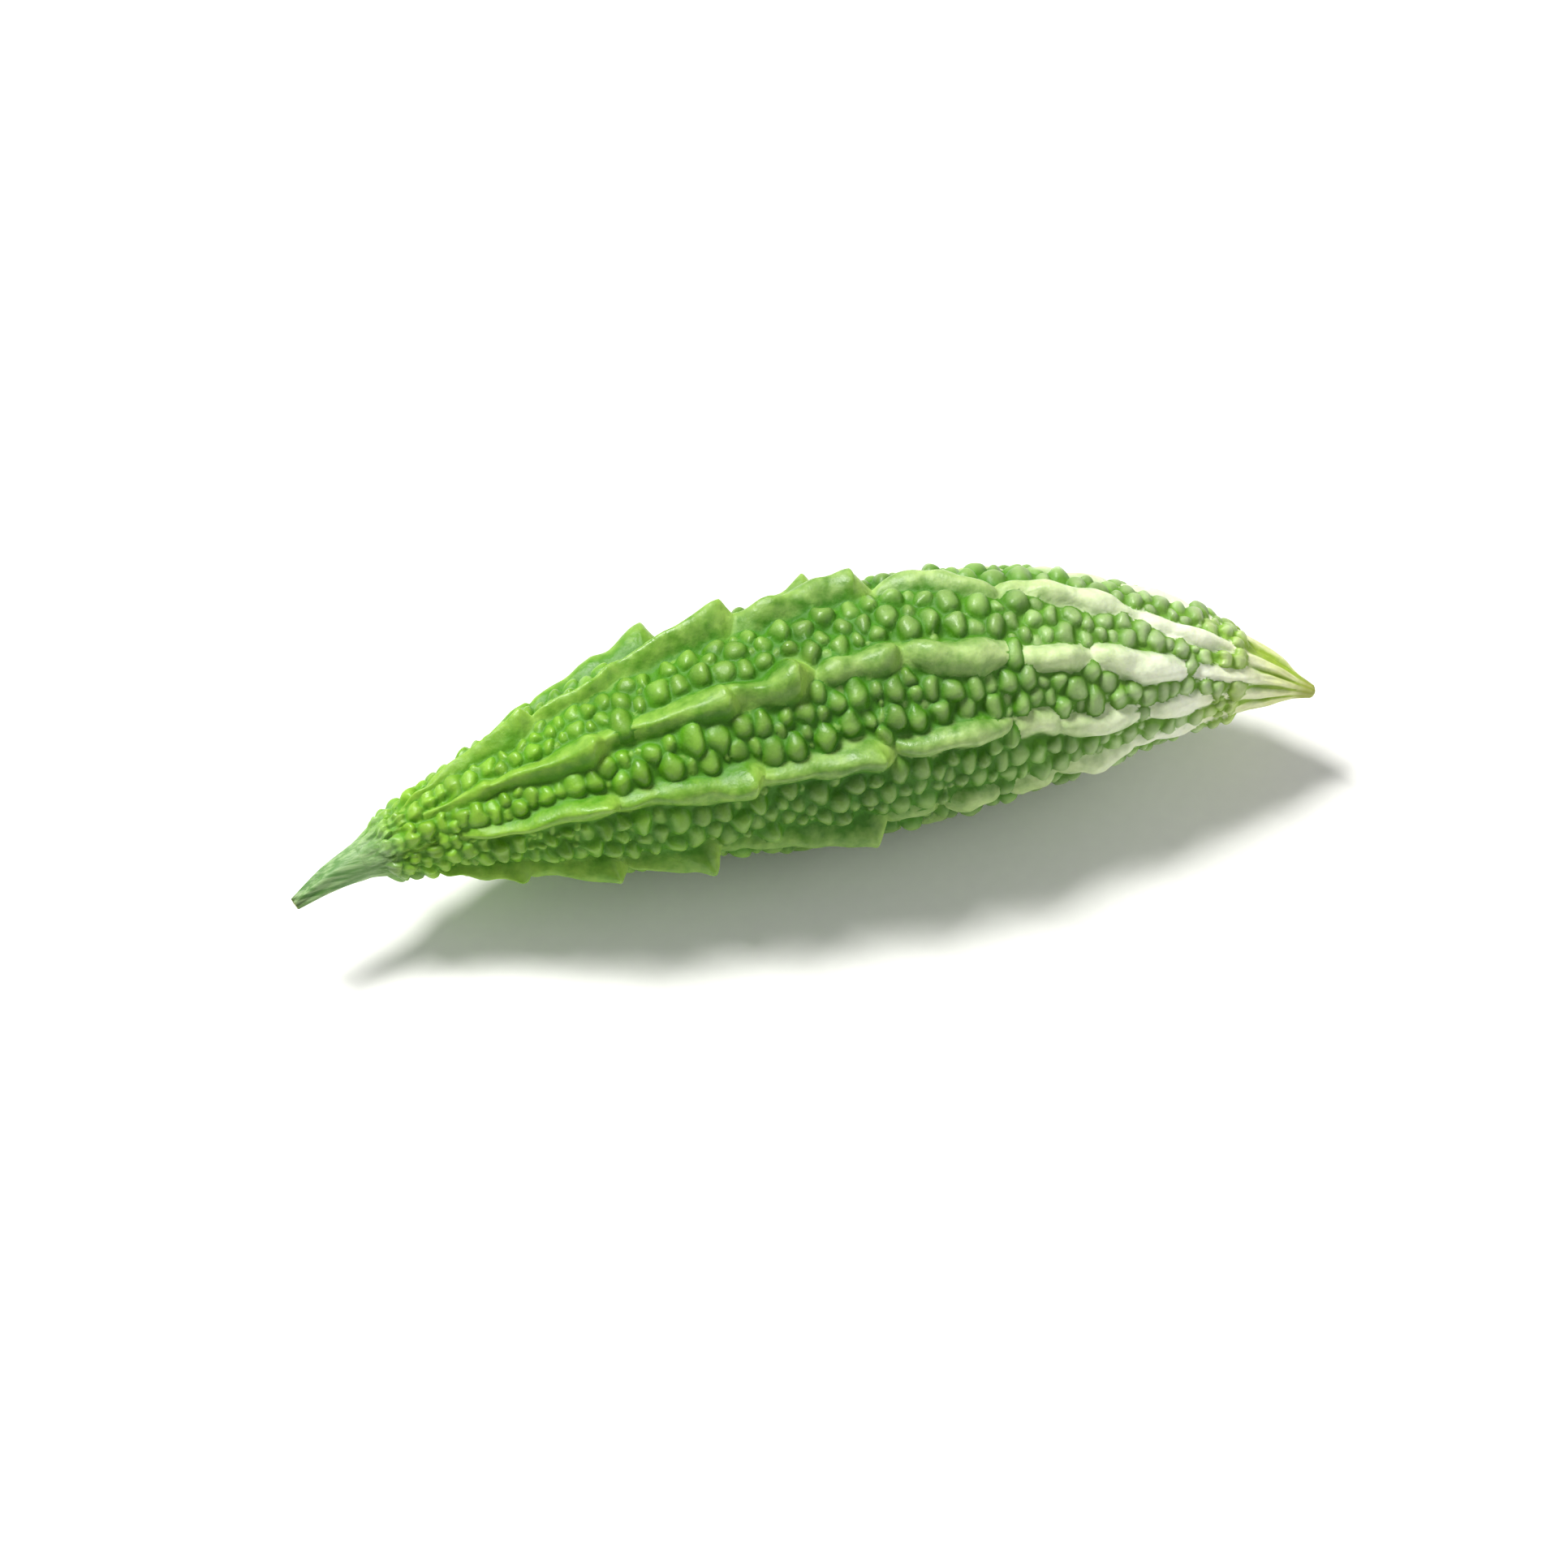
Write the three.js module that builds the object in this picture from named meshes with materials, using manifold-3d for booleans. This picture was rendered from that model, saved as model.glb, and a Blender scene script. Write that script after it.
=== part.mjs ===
// Bitter gourd: one whole fruit lying on its side, with the short cut stub of its stalk.
// Millimetres, +Z up. The fruit lies along X, stalk at -X and blossom end at +X, and rests on Z = 0.
//
// The fruit is a spindle whose surface is raised by one relief: ten broken ridges of lumps, each ending
// in a tooth that points to the blossom, and warts that fill the furrows between the ridges.
// A "station" is the distance along X from the joint of stalk and fruit. A "bearing" is the angle round
// the axis in degrees: 0 in front (-Y), 90 on top. A "height" is measured outwards from the spindle.

import * as THREE from 'three';
import { ConvexHull } from 'three/addons/math/ConvexHull.js';
import { mergeVertices } from 'three/addons/utils/BufferGeometryUtils.js';
import Module from 'manifold-3d';

const { clamp, degToRad, euclideanModulo, lerp, radToDeg, smoothstep } = THREE.MathUtils;

// ---------------------------------------------------------------- driving dimensions

const FRUIT_LENGTH = 171; // joint with the stalk to the blossom nub
const NUB_ROUNDING = 0.8; // how far the nub's tip stands past that
const STALK_LENGTH = 12; // cut stub
const JOINT_GAP = 0.3; // between the end faces of stalk and fruit
const ORIGIN_STATION = 79.7; // middle of the whole length
const AXIS_BACK = 0.2; // the belly's axis lies this far behind the middle of the whole width
const AXIS_HEIGHT = 23; // the belly's axis above the surface that the fruit lies on
const BOW_TILT = 25; // the centre line bows back, and upwards by this many degrees
const TOOTH_HOOK = 0.028; // a point of height h leans h * h times this towards the blossom

// The spindle under the relief: station, bow of the centre line, radius.
const SPINDLE = [
  [-12, -14.2, 0.9],
  [-5, -11.0, 2.3],
  [4, -8.1, 4.1],
  [15, -6.0, 6.9],
  [29, -4.4, 11.2],
  [46, -2.6, 15.4],
  [66, -1.0, 18.0],
  [88, -0.1, 19.6],
  [110, 0.0, 19.0],
  [128, -1.2, 16.2],
  [142, -3.2, 12.8],
  [154, -6.0, 8.6],
  [163, -9.2, 4.8],
  [168, -11.6, 2.5],
  [171, -13.2, 1.3],
];
const BOW = 1;
const RADIUS = 2;

// The ridges: bearing near the stalk, at the belly and near the blossom, then the lumps that break the
// ridge up. A lump is the station where it starts, the station of its tooth, and the tooth's height.
// A ridge without lumps of its own gets them by rule, to the given portion of the usual height.
const BELLY_STATION = 90;
const BLOSSOM_STATION = 165;
const RIDGES = [
  {
    bearings: [112, 123, 80],
    lumps: [[8, 33, 6.6], [29, 70, 9.2], [61, 93, 8.8], [96, 117, 4.6], [115.5, 140, 4.2], [139.5, 158, 2.6]],
  },
  {
    bearings: [77, 74, 47],
    lumps: [
      [10, 24, 3.8], [20, 42, 7.4], [38, 66, 6.6], [59, 78.5, 8.2], [80.5, 96.5, 5.8], [96.5, 117, 5.2],
      [117, 131, 4.2], [129.5, 149, 3.8], [149, 162, 2.2],
    ],
  },
  {
    bearings: [37, 32, 20],
    lumps: [
      [15, 41.5, 7.6], [37, 67, 7.6], [62, 89.5, 7.8], [92, 115, 5.6], [115, 124.5, 3.4], [122.5, 140, 4.2],
      [140, 154, 2.8],
    ],
  },
  {
    bearings: [-16, -16, -12],
    lumps: [
      [10, 25, 6.5], [24, 41, 7.6], [41, 56.5, 8.6], [56, 87.5, 7.4], [89, 100, 3.6], [101, 113, 4.8],
      [114, 124, 3.6], [124, 140, 3.8], [137, 154, 2.4],
    ],
  },
  { bearings: [-45, -46, -48], portion: 0.75 },
  {
    bearings: [-76, -74, -80],
    lumps: [[14, 30, 3.5], [26, 50, 4.2], [45, 73, 6.9], [74, 108, 5.1], [110, 128, 3.6], [130, 150, 2.6]],
  },
  {
    bearings: [-108, -108, -116],
    lumps: [[10, 26, 3.2], [22, 46, 4.4], [41, 66, 7.2], [63, 91, 5.2], [94, 118, 5.6], [120, 140, 3.2]],
  },
  { bearings: [-142, -142, -152], portion: 0.85 },
  { bearings: [-176, -176, -188], portion: 1 },
  {
    bearings: [152, 156, 126],
    lumps: [
      [14, 36, 4], [32, 58, 8.3], [54, 76, 4.4], [72, 87, 7], [88, 104, 3.6], [106, 122, 2.6],
      [119, 138, 3], [136, 152, 2.4],
    ],
  },
];

// Lumps by rule: their length near the stalk and near the blossom, and the usual height of a tooth.
const LUMP_SEED = 20611;
const LUMP_LENGTHS = [24, 13];
const LUMP_HEIGHTS = [
  [5, 2.4],
  [45, 6.4],
  [80, 7.2],
  [120, 4.4],
  [160, 1.8],
];
const HEIGHT = 1;
const LUMP_STARTS = [-5, 1]; // from a tooth to the start of the next lump: most run into one another
const FIRST_LUMP = 12;
const LAST_LUMP = 158;
const LUMP_OFFSET = [-0.9, 0.9]; // how far a lump lies beside its ridge's own line, at the belly
const LUMP_BREADTH = [0.82, 1.15]; // breadth of a lump's foot over the usual

// Along a lump: a blade rises soon and climbs to its tooth, a bean is squarish and full all along.
const BLADE_RISE = 0.22; // share of its length in which a blade gets clear of the skin
const BLADE_START = 0.44; // share of its height that it has from there
const BLADE_CLIMB = 2.5; // power of the climb to the tooth
const BEAN_SQUARENESS = 2.6;
const BLADES_END = 82; // station where the last true blade has its tooth
const BEANS_BEGIN = 118; // station where the first true bean has its tooth
const TOOTH_LEAD = 0.7; // the tooth is rounded from this far before its station
const TOOTH_DROP = 1; // it has fallen off this far behind its station,
const TOOTH_DROP_SHARE = 0.44; // and farther by this share of its height
const TOOTH_FALL = 1.2; // power of the fall

// Ridges waver round the fruit, by so many degrees.
const WAVER = [
  { period: 37, swing: 1.7 },
  { period: 17, swing: 1.2 },
];

// Across a lump: half its foot, as a least width and a share of the spindle's radius, and the two powers
// of its outline.
const BLADE = { least: 0.7, share: 0.215, shoulder: 1.5, crown: 1.3 };
const BEAN = { least: 1.6, share: 0.1, shoulder: 2.2, crown: 0.7 };
const FOOT_TAPER = 0.4; // share of the foot's width where the lump has no height yet
const RIB_HEIGHT = 0.9; // low rib that joins the lumps of a ridge and runs on to the nub
const RIB_FOOT_SHARE = 0.22;

// Warts, in the furrows between the ridges.
const WART_SEED = 48817;
const WART_RADIUS = [1.95, 2.5]; // at the belly
const WART_TRIES = 12000;
const WART_STATIONS = [5, 158];
const WART_WIDENING = [1.03, 1.44]; // breadth round the fruit over length along it
const WART_FULL_GIRTH = 16; // radius of the spindle below which warts shrink in step with it
const WART_SHRINK = [0.6, 1.08];
const WART_LEAST = 0.4; // height of a wart: this much, and its tallness times its radius
const WART_TALLNESS = 1.2;
const WART_ROUND = { shoulder: 2.2, crown: 0.58 };
const WART_OVERLAP = 0.78; // least distance of two warts when they are placed, over the sum of radii
const WART_FLANK = 0.6; // a wart feels the ridges over its middle and this share of its breadth beside it
const WART_CLEARANCE = 1.6; // most that the ridges may stand there, in all, over the wart's height
const SETTLE_PASSES = 40;
const SETTLE_RATE = 0.5;
const SETTLE_SPACING = 0.98; // distance at which two warts stop pushing, over the sum of their radii
const SLIDE = 0.1; // step of a wart off a ridge, over how much higher the ridge stands on that side

// The relief fades out towards the joint and towards the nub.
const SMOOTH_NECK = 6;
const SMOOTH_NUB = [165, 169];

// Corners of the skin. Distances in millimetres.
const END_RINGS = [
  { station: 0, sides: 10 },
  { station: 2.5, sides: 12 },
  { station: FRUIT_LENGTH, sides: 8 },
];
const ROW_STEP = 4.2; // between rows of corners along a ridge
const ROW_STATIONS = [5, 169];
const FLANKS = [0, -0.5, 0.5]; // corners of a row on the ridge and beside it, over half its foot
const FEET = [-1.05, 1.05];
const ROW_SPACING = 1.1; // least distance between corners, here and below
const TOP_REACH = 0.6; // ring of corners round a wart's top, over its radius
const TOP_SIDES = 6;
const TOP_SPACING = 0.45;
const EDGE_REACH = 1.05; // farthest and nearest that a wart's edge is looked for, over its radius
const EDGE_STEP = 0.05;
const EDGE_SIDES = 6;
const EDGE_SPACING = 1.25;
const EDGE_SLACK = 0.05;
const FILL_SPACING = 3; // bare skin gets corners at this distance
const FILL_TRIES = 12000;
const FILL_SEED = 7919;

const NORTHING_STEPS = 200; // in which the way along the fruit is summed up
const SIDE_SAMPLES = [0.25, 0.5, 0.75]; // where a side between two corners is held against the relief
const FIT_PASSES = 4;
const FIT_GAIN = 0.05; // a side is turned if that brings it closer by at least this
const LEAST_SPREAD = 0.5; // twice the least area of a face

// Stalk stub: rings of corners and its shallow ribs.
const STALK_SIDES = 15;
const STALK_RINGS = 5;
const STALK_RIBS = 5;
const STALK_RIB_HEIGHT = 0.25;

const GROUND_SIZE = [400, 200, 40];
const MERGE_DISTANCE = 1e-4;

// ---------------------------------------------------------------- small helpers

const turnBetween = (from, to) => euclideanModulo(to - from + 180, 360) - 180;

// Half a rounded section: 1 in the middle, 0 at the foot, whatever its two powers.
const outline = (q, { shoulder, crown }) => (q < 1 ? (1 - q ** shoulder) ** crown : 0);

// Park-Miller dice: the same throws every time from the same seed.
function diceFrom(seed) {
  let state = seed;
  return (low, high) => {
    state = (state * 48271) % 2147483647;
    return lerp(low, high, state / 2147483647);
  };
}

// Smooth curve through the rows of a table: value and slope of one column at a station.
function along(rows, column, station) {
  const slopeAt = (i) => {
    const before = rows[Math.max(i - 1, 0)];
    const after = rows[Math.min(i + 1, rows.length - 1)];
    return (after[column] - before[column]) / (after[0] - before[0]);
  };
  let i = 0;
  while (i < rows.length - 2 && station >= rows[i + 1][0]) i += 1;
  const span = rows[i + 1][0] - rows[i][0];
  const t = (station - rows[i][0]) / span;
  const [start, end] = [rows[i][column], rows[i + 1][column]];
  const [leave, arrive] = [slopeAt(i) * span, slopeAt(i + 1) * span];
  const bend = 2 * start - 2 * end + leave + arrive;
  const sweep = 3 * end - 3 * start - 2 * leave - arrive;
  return {
    value: start + t * (leave + t * (sweep + t * bend)),
    slope: (leave + t * (2 * sweep + t * 3 * bend)) / span,
  };
}

const radiusAt = (station) => along(SPINDLE, RADIUS, station).value;
const BELLY_RADIUS = radiusAt(BELLY_STATION);

// Arc between two bearings on the bare spindle, signed.
const arcBetween = (from, to, radius) => degToRad(turnBetween(from, to)) * radius;

// ---------------------------------------------------------------- from the fruit's own measures to space

const LONG_AXIS = new THREE.Vector3(1, 0, 0);
const BOW_AXIS = new THREE.Vector3(0, Math.cos(degToRad(BOW_TILT)), Math.sin(degToRad(BOW_TILT)));
const FLAT_AXIS = new THREE.Vector3().crossVectors(LONG_AXIS, BOW_AXIS);

function centreAt(station) {
  const bow = along(SPINDLE, BOW, station).value;
  return new THREE.Vector3(station - ORIGIN_STATION, AXIS_BACK, AXIS_HEIGHT).addScaledVector(BOW_AXIS, bow);
}

function place(station, bearing, height) {
  const bow = along(SPINDLE, BOW, station);
  const tangent = LONG_AXIS.clone().addScaledVector(BOW_AXIS, bow.slope).normalize();
  const outward = BOW_AXIS.clone().addScaledVector(LONG_AXIS, -bow.slope).normalize();
  const radius = radiusAt(station) + height;
  const turn = degToRad(bearing + BOW_TILT);
  return centreAt(station)
    .addScaledVector(outward, -radius * Math.cos(turn))
    .addScaledVector(FLAT_AXIS, radius * Math.sin(turn))
    .addScaledVector(tangent, TOOTH_HOOK * height * height);
}

// ---------------------------------------------------------------- relief of the ridges

const dropOf = (lump) => TOOTH_DROP + TOOTH_DROP_SHARE * lump.height;

// Lumps that follow one another from stalk to blossom, each a bit longer or shorter than usual.
function lumpsByRule(portion, roll) {
  const lumps = [];
  let start = FIRST_LUMP + roll(-3, 3);
  for (;;) {
    const usual = lerp(...LUMP_LENGTHS, start / FRUIT_LENGTH);
    const tooth = start + usual * roll(0.8, 1.2);
    if (tooth > LAST_LUMP) return lumps;
    const height = portion * along(LUMP_HEIGHTS, HEIGHT, tooth).value * roll(0.85, 1.1);
    lumps.push({ start, tooth, height });
    start = tooth + roll(...LUMP_STARTS);
  }
}

const rollLumps = diceFrom(LUMP_SEED);
const ridges = RIDGES.map(({ bearings, lumps: given, portion }) => {
  const lumps = given
    ? given.map(([start, tooth, height]) => ({ start, tooth, height }))
    : lumpsByRule(portion, rollLumps);
  lumps.forEach((lump) => {
    lump.offset = rollLumps(...LUMP_OFFSET);
    lump.breadth = rollLumps(...LUMP_BREADTH);
  });
  return { bearings, lumps };
});

function bearingOf({ bearings: [stalk, belly, blossom] }, station) {
  const course = station < BELLY_STATION
    ? lerp(stalk, belly, smoothstep(station, 0, BELLY_STATION))
    : lerp(belly, blossom, smoothstep(station, BELLY_STATION, BLOSSOM_STATION));
  return WAVER.reduce((bearing, { period, swing }, i) => (
    bearing + swing * Math.sin((2 * Math.PI * station) / period + (i + 1) * belly)
  ), course);
}

// 0 for a lump like a blade, which climbs all the way to its tooth; 1 for one like a bean.
const bluntnessOf = (lump) => smoothstep(lump.tooth, BLADES_END, BEANS_BEGIN);

// Share of its height that a lump has at a station.
function fullnessOf(lump, station) {
  const x = (station - lump.start) / (lump.tooth - lump.start);
  if (x <= 0) return 0;
  const rise = smoothstep(x, 0, BLADE_RISE) * lerp(BLADE_START, 1, Math.min(x, 1) ** BLADE_CLIMB);
  const fallen = clamp((station - lump.tooth + TOOTH_LEAD) / (dropOf(lump) + TOOTH_LEAD), 0, 1);
  const blade = rise * (1 - fallen ** TOOTH_FALL);
  const bean = x < 1 ? Math.sqrt(1 - Math.abs(2 * x - 1) ** BEAN_SQUARENESS) : 0;
  return lerp(blade, bean, bluntnessOf(lump));
}

// What stands on a ridge's line at a station: height, middle, half the foot and roundness of each.
function sectionsOf(ridge, station) {
  const radius = radiusAt(station);
  const rib = { height: RIB_HEIGHT, middle: 0, foot: RIB_FOOT_SHARE * radius, ...BEAN };
  const lumps = ridge.lumps.map((lump) => {
    const fullness = fullnessOf(lump, station);
    const between = (measure) => lerp(BLADE[measure], BEAN[measure], bluntnessOf(lump));
    const usual = between('least') + between('share') * radius;
    return {
      height: lump.height * fullness,
      middle: (lump.offset * radius) / BELLY_RADIUS,
      foot: usual * lerp(FOOT_TAPER, 1, fullness) * lump.breadth,
      shoulder: between('shoulder'),
      crown: between('crown'),
    };
  });
  return [rib, ...lumps];
}

function ridgeRelief(station, bearing) {
  const radius = radiusAt(station);
  const heights = ridges.flatMap((ridge) => {
    const arc = arcBetween(bearingOf(ridge, station), bearing, radius);
    return sectionsOf(ridge, station).map((section) => (
      section.height * outline(Math.abs(arc - section.middle) / section.foot, section)
    ));
  });
  return Math.max(...heights);
}

// ---------------------------------------------------------------- relief of the warts

// Distance from a wart's middle, in its own radii.
function reachOf(wart, station, bearing) {
  const arc = arcBetween(wart.bearing, bearing, radiusAt(wart.station));
  return Math.hypot((station - wart.station) / wart.length, arc / wart.breadth);
}

// The way from one wart to another, along and around, and as a share of where they would just touch.
function wayBetween(from, to) {
  const ahead = to.station - from.station;
  const aside = arcBetween(from.bearing, to.bearing, radiusAt(to.station));
  const share = Math.hypot(ahead / (from.length + to.length), aside / (from.breadth + to.breadth));
  return { ahead, aside, share };
}

// How high the ridges stand over a wart's middle, and over its left and right flank.
function ridgesOver(wart) {
  const turn = WART_FLANK * radToDeg(wart.breadth / radiusAt(wart.station));
  return [0, -turn, turn].map((aside) => ridgeRelief(wart.station, wart.bearing + aside));
}

function isClear(wart) {
  const [middle, left, right] = ridgesOver(wart);
  return middle + left + right < WART_CLEARANCE * wart.height;
}

// Places are tried at random, evenly over the skin. A wart stays where it is clear of the ridges and of
// the warts before it.
function scatterWarts() {
  const roll = diceFrom(WART_SEED);
  const warts = [];
  for (let i = 0; i < WART_TRIES; i += 1) {
    const station = roll(...WART_STATIONS);
    const bearing = roll(0, 360);
    const girth = radiusAt(station);
    const length = roll(...WART_RADIUS) * clamp(girth / WART_FULL_GIRTH, ...WART_SHRINK);
    const breadth = length * roll(...WART_WIDENING);
    const wart = { station, bearing, length, breadth, height: WART_LEAST + WART_TALLNESS * length };
    const even = roll(0, 1) < girth / BELLY_RADIUS;
    const apart = (other) => wayBetween(other, wart).share >= WART_OVERLAP;
    if (even && isClear(wart) && warts.every(apart)) warts.push(wart);
  }
  return warts;
}

// Crowded warts push each other apart, and slide off the feet of the ridges.
function settle(placed) {
  let warts = placed;
  for (let pass = 0; pass < SETTLE_PASSES; pass += 1) {
    const before = warts;
    warts = before.map((wart) => {
      const [, left, right] = ridgesOver(wart);
      let ahead = 0;
      let aside = SLIDE * (left - right);
      before.filter((other) => other !== wart).forEach((other) => {
        const way = wayBetween(other, wart);
        const push = (SETTLE_RATE / 2) * Math.max(SETTLE_SPACING / way.share - 1, 0);
        ahead += way.ahead * push;
        aside += way.aside * push;
      });
      const station = clamp(wart.station + ahead, ...WART_STATIONS);
      return { ...wart, station, bearing: wart.bearing + radToDeg(aside / radiusAt(wart.station)) };
    });
  }
  return warts.filter(isClear);
}

const warts = settle(scatterWarts());

const wartRelief = (station, bearing) => Math.max(
  ...warts.map((wart) => wart.height * outline(reachOf(wart, station, bearing), WART_ROUND)),
);

function relief(station, bearing) {
  const fade = smoothstep(station, 0, SMOOTH_NECK) * (1 - smoothstep(station, ...SMOOTH_NUB));
  return fade * Math.max(ridgeRelief(station, bearing), wartRelief(station, bearing));
}

// ---------------------------------------------------------------- skin of the fruit

// The place on a wart's outline at a reach, in its own radii, and a direction round its middle.
function placeOn(wart, reach, direction) {
  const arc = reach * wart.breadth * Math.sin(direction);
  return [
    wart.station + reach * wart.length * Math.cos(direction),
    wart.bearing + radToDeg(arc / radiusAt(wart.station)),
  ];
}

// Whether a wart stands as high at a place on its outline as anything else does.
function shows(wart, reach, direction) {
  const others = relief(...placeOn(wart, reach, direction));
  return others <= wart.height * outline(reach, WART_ROUND) + EDGE_SLACK;
}

// How far a wart reaches in a direction before its neighbour, a ridge or the bare skin takes over.
function edgeOf(wart, direction) {
  let reach = EDGE_REACH;
  while (reach > TOP_REACH && !shows(wart, reach, direction)) reach -= EDGE_STEP;
  return reach;
}

// Stations of the rows of corners along a ridge: where lumps end, and evenly between.
function rowsAlong(ridge) {
  const [first, last] = ROW_STATIONS;
  const rows = ridge.lumps.flatMap((lump) => [lump.tooth, lump.tooth + dropOf(lump)]);
  for (let station = first; station < last; station += ROW_STEP) {
    if (rows.every((row) => Math.abs(row - station) > ROW_STEP / 2)) rows.push(station);
  }
  return rows.filter((row) => row <= last);
}

// Corners of the skin, as station and bearing. The first to claim a place keeps it.
function gatherCorners() {
  const corners = [];
  const claim = ([station, bearing], spacing) => {
    const radius = radiusAt(station);
    const taken = corners.some((corner) => Math.abs(station - corner.station) < spacing
      && Math.hypot(station - corner.station, arcBetween(corner.bearing, bearing, radius)) < spacing);
    if (!taken) corners.push({ station, bearing, height: relief(station, bearing) });
  };

  END_RINGS.forEach(({ station, sides }) => {
    for (let i = 0; i < sides; i += 1) claim([station, (i * 360) / sides], 0);
  });

  const claimRows = (shares) => ridges.forEach((ridge) => rowsAlong(ridge).forEach((station) => {
    const highest = sectionsOf(ridge, station).reduce((a, b) => (b.height > a.height ? b : a));
    shares.forEach((across) => {
      const turn = radToDeg((highest.middle + across * highest.foot) / radiusAt(station));
      claim([station, bearingOf(ridge, station) + turn], ROW_SPACING);
    });
  }));
  claimRows(FLANKS);

  const directions = (sides, start) => Array.from({ length: sides }, (_, i) => (
    (2 * Math.PI * (i + start)) / sides
  ));
  warts.forEach((wart) => {
    claim([wart.station, wart.bearing], TOP_SPACING);
    directions(TOP_SIDES, 0)
      .filter((direction) => shows(wart, TOP_REACH, direction))
      .forEach((direction) => claim(placeOn(wart, TOP_REACH, direction), TOP_SPACING));
  });
  warts.forEach((wart) => {
    directions(EDGE_SIDES, 0.5)
      .forEach((direction) => claim(placeOn(wart, edgeOf(wart, direction), direction), EDGE_SPACING));
  });
  claimRows(FEET);

  const roll = diceFrom(FILL_SEED);
  for (let i = 0; i < FILL_TRIES; i += 1) {
    claim([roll(END_RINGS[1].station, FRUIT_LENGTH), roll(0, 360)], FILL_SPACING);
  }
  return corners;
}

// Each corner has its twin on a unit sphere, on a map that keeps angles: along the sphere's axis it
// stands as far as the sum of station steps over radius. The hull of the twins then joins neighbours.
function joinCorners(corners) {
  const northing = (station) => {
    let sum = 0;
    for (let step = 0; step < NORTHING_STEPS; step += 1) {
      const middle = lerp(BELLY_STATION, station, (step + 0.5) / NORTHING_STEPS);
      sum += (station - BELLY_STATION) / NORTHING_STEPS / radiusAt(middle);
    }
    return sum;
  };
  const twins = corners.map(({ station, bearing }) => {
    const latitude = 2 * Math.atan(Math.exp(northing(station))) - Math.PI / 2;
    const turn = degToRad(bearing);
    return new THREE.Vector3(
      Math.sin(latitude),
      -Math.cos(latitude) * Math.cos(turn),
      Math.cos(latitude) * Math.sin(turn),
    );
  });
  twins.push(new THREE.Vector3(-1, 0, 0), new THREE.Vector3(1, 0, 0));
  const numberOf = new Map(twins.map((twin, number) => [twin, number]));
  return new ConvexHull().setFromPoints(twins).faces.map(({ edge }) => (
    [edge, edge.next, edge.prev].map((side) => numberOf.get(side.head().point))
  ));
}

// Turns the side that two faces share into the other diagonal, where that lies closer to the relief.
// So the sides run along the crests and round the warts.
function fitSides(faces, corners) {
  const step = (from, to) => new THREE.Vector2(
    corners[to].station - corners[from].station,
    arcBetween(corners[from].bearing, corners[to].bearing, radiusAt(corners[from].station)),
  );
  const spread = (a, b, c) => step(a, b).cross(step(a, c));
  const misfits = new Map();
  const misfit = (a, b) => {
    const key = `${Math.min(a, b)} ${Math.max(a, b)}`;
    if (!misfits.has(key)) {
      const [start, end] = [corners[a], corners[b]];
      const turn = turnBetween(start.bearing, end.bearing);
      misfits.set(key, SIDE_SAMPLES.reduce((sum, t) => (
        sum + Math.abs(lerp(start.height, end.height, t)
          - relief(lerp(start.station, end.station, t), start.bearing + t * turn))
      ), 0) / SIDE_SAMPLES.length);
    }
    return misfits.get(key);
  };
  for (let pass = 0; pass < FIT_PASSES; pass += 1) {
    const faceOf = new Map();
    faces.forEach((face, number) => face.forEach((corner, i) => {
      faceOf.set(`${corner} ${face[(i + 1) % 3]}`, number);
    }));
    const turned = new Set();
    faceOf.forEach((left, side) => {
      const [a, b] = side.split(' ').map(Number);
      const right = faceOf.get(`${b} ${a}`);
      const c = faces[left].find((corner) => corner !== a && corner !== b);
      const d = faces[right].find((corner) => corner !== a && corner !== b);
      const settled = a > b || turned.has(left) || turned.has(right) || faceOf.has(`${c} ${d}`)
        || [a, b, c, d].some((corner) => corner >= corners.length);
      if (settled || misfit(c, d) > misfit(a, b) - FIT_GAIN) return;
      if (Math.min(spread(a, d, c), spread(d, b, c)) < LEAST_SPREAD) return;
      faces[left] = [a, d, c];
      faces[right] = [d, b, c];
      turned.add(left).add(right);
    });
  }
}

function makeFruit() {
  const corners = gatherCorners();
  const points = corners.map(({ station, bearing, height }) => place(station, bearing, height));
  points.push(centreAt(0), centreAt(FRUIT_LENGTH + NUB_ROUNDING));
  const faces = joinCorners(corners);
  fitSides(faces, corners);
  return new THREE.BufferGeometry().setFromPoints(points).setIndex(faces.flat());
}

// ---------------------------------------------------------------- stalk

// Rings of corners from the joint to the cut, closed by a disc at each end.
function makeStalk() {
  const points = [];
  for (let ring = 0; ring < STALK_RINGS; ring += 1) {
    const station = -lerp(JOINT_GAP, STALK_LENGTH, ring / (STALK_RINGS - 1));
    for (let side = 0; side < STALK_SIDES; side += 1) {
      const bearing = (360 * side) / STALK_SIDES;
      points.push(place(station, bearing, STALK_RIB_HEIGHT * Math.cos(degToRad(STALK_RIBS * bearing))));
    }
  }
  const joint = points.push(centreAt(-JOINT_GAP)) - 1;
  const cut = points.push(centreAt(-STALK_LENGTH)) - 1;
  const faces = [];
  for (let side = 0; side < STALK_SIDES; side += 1) {
    const next = (side + 1) % STALK_SIDES;
    for (let ring = 0; ring < STALK_RINGS - 1; ring += 1) {
      const near = ring * STALK_SIDES;
      const far = near + STALK_SIDES;
      faces.push(near + side, far + next, far + side, near + side, near + next, far + next);
    }
    const last = (STALK_RINGS - 1) * STALK_SIDES;
    faces.push(joint, next, side, cut, last + side, last + next);
  }
  return new THREE.BufferGeometry().setFromPoints(points).setIndex(faces);
}

// ---------------------------------------------------------------- flat spots to rest on

const wasm = await Module();
wasm.setup();

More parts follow.
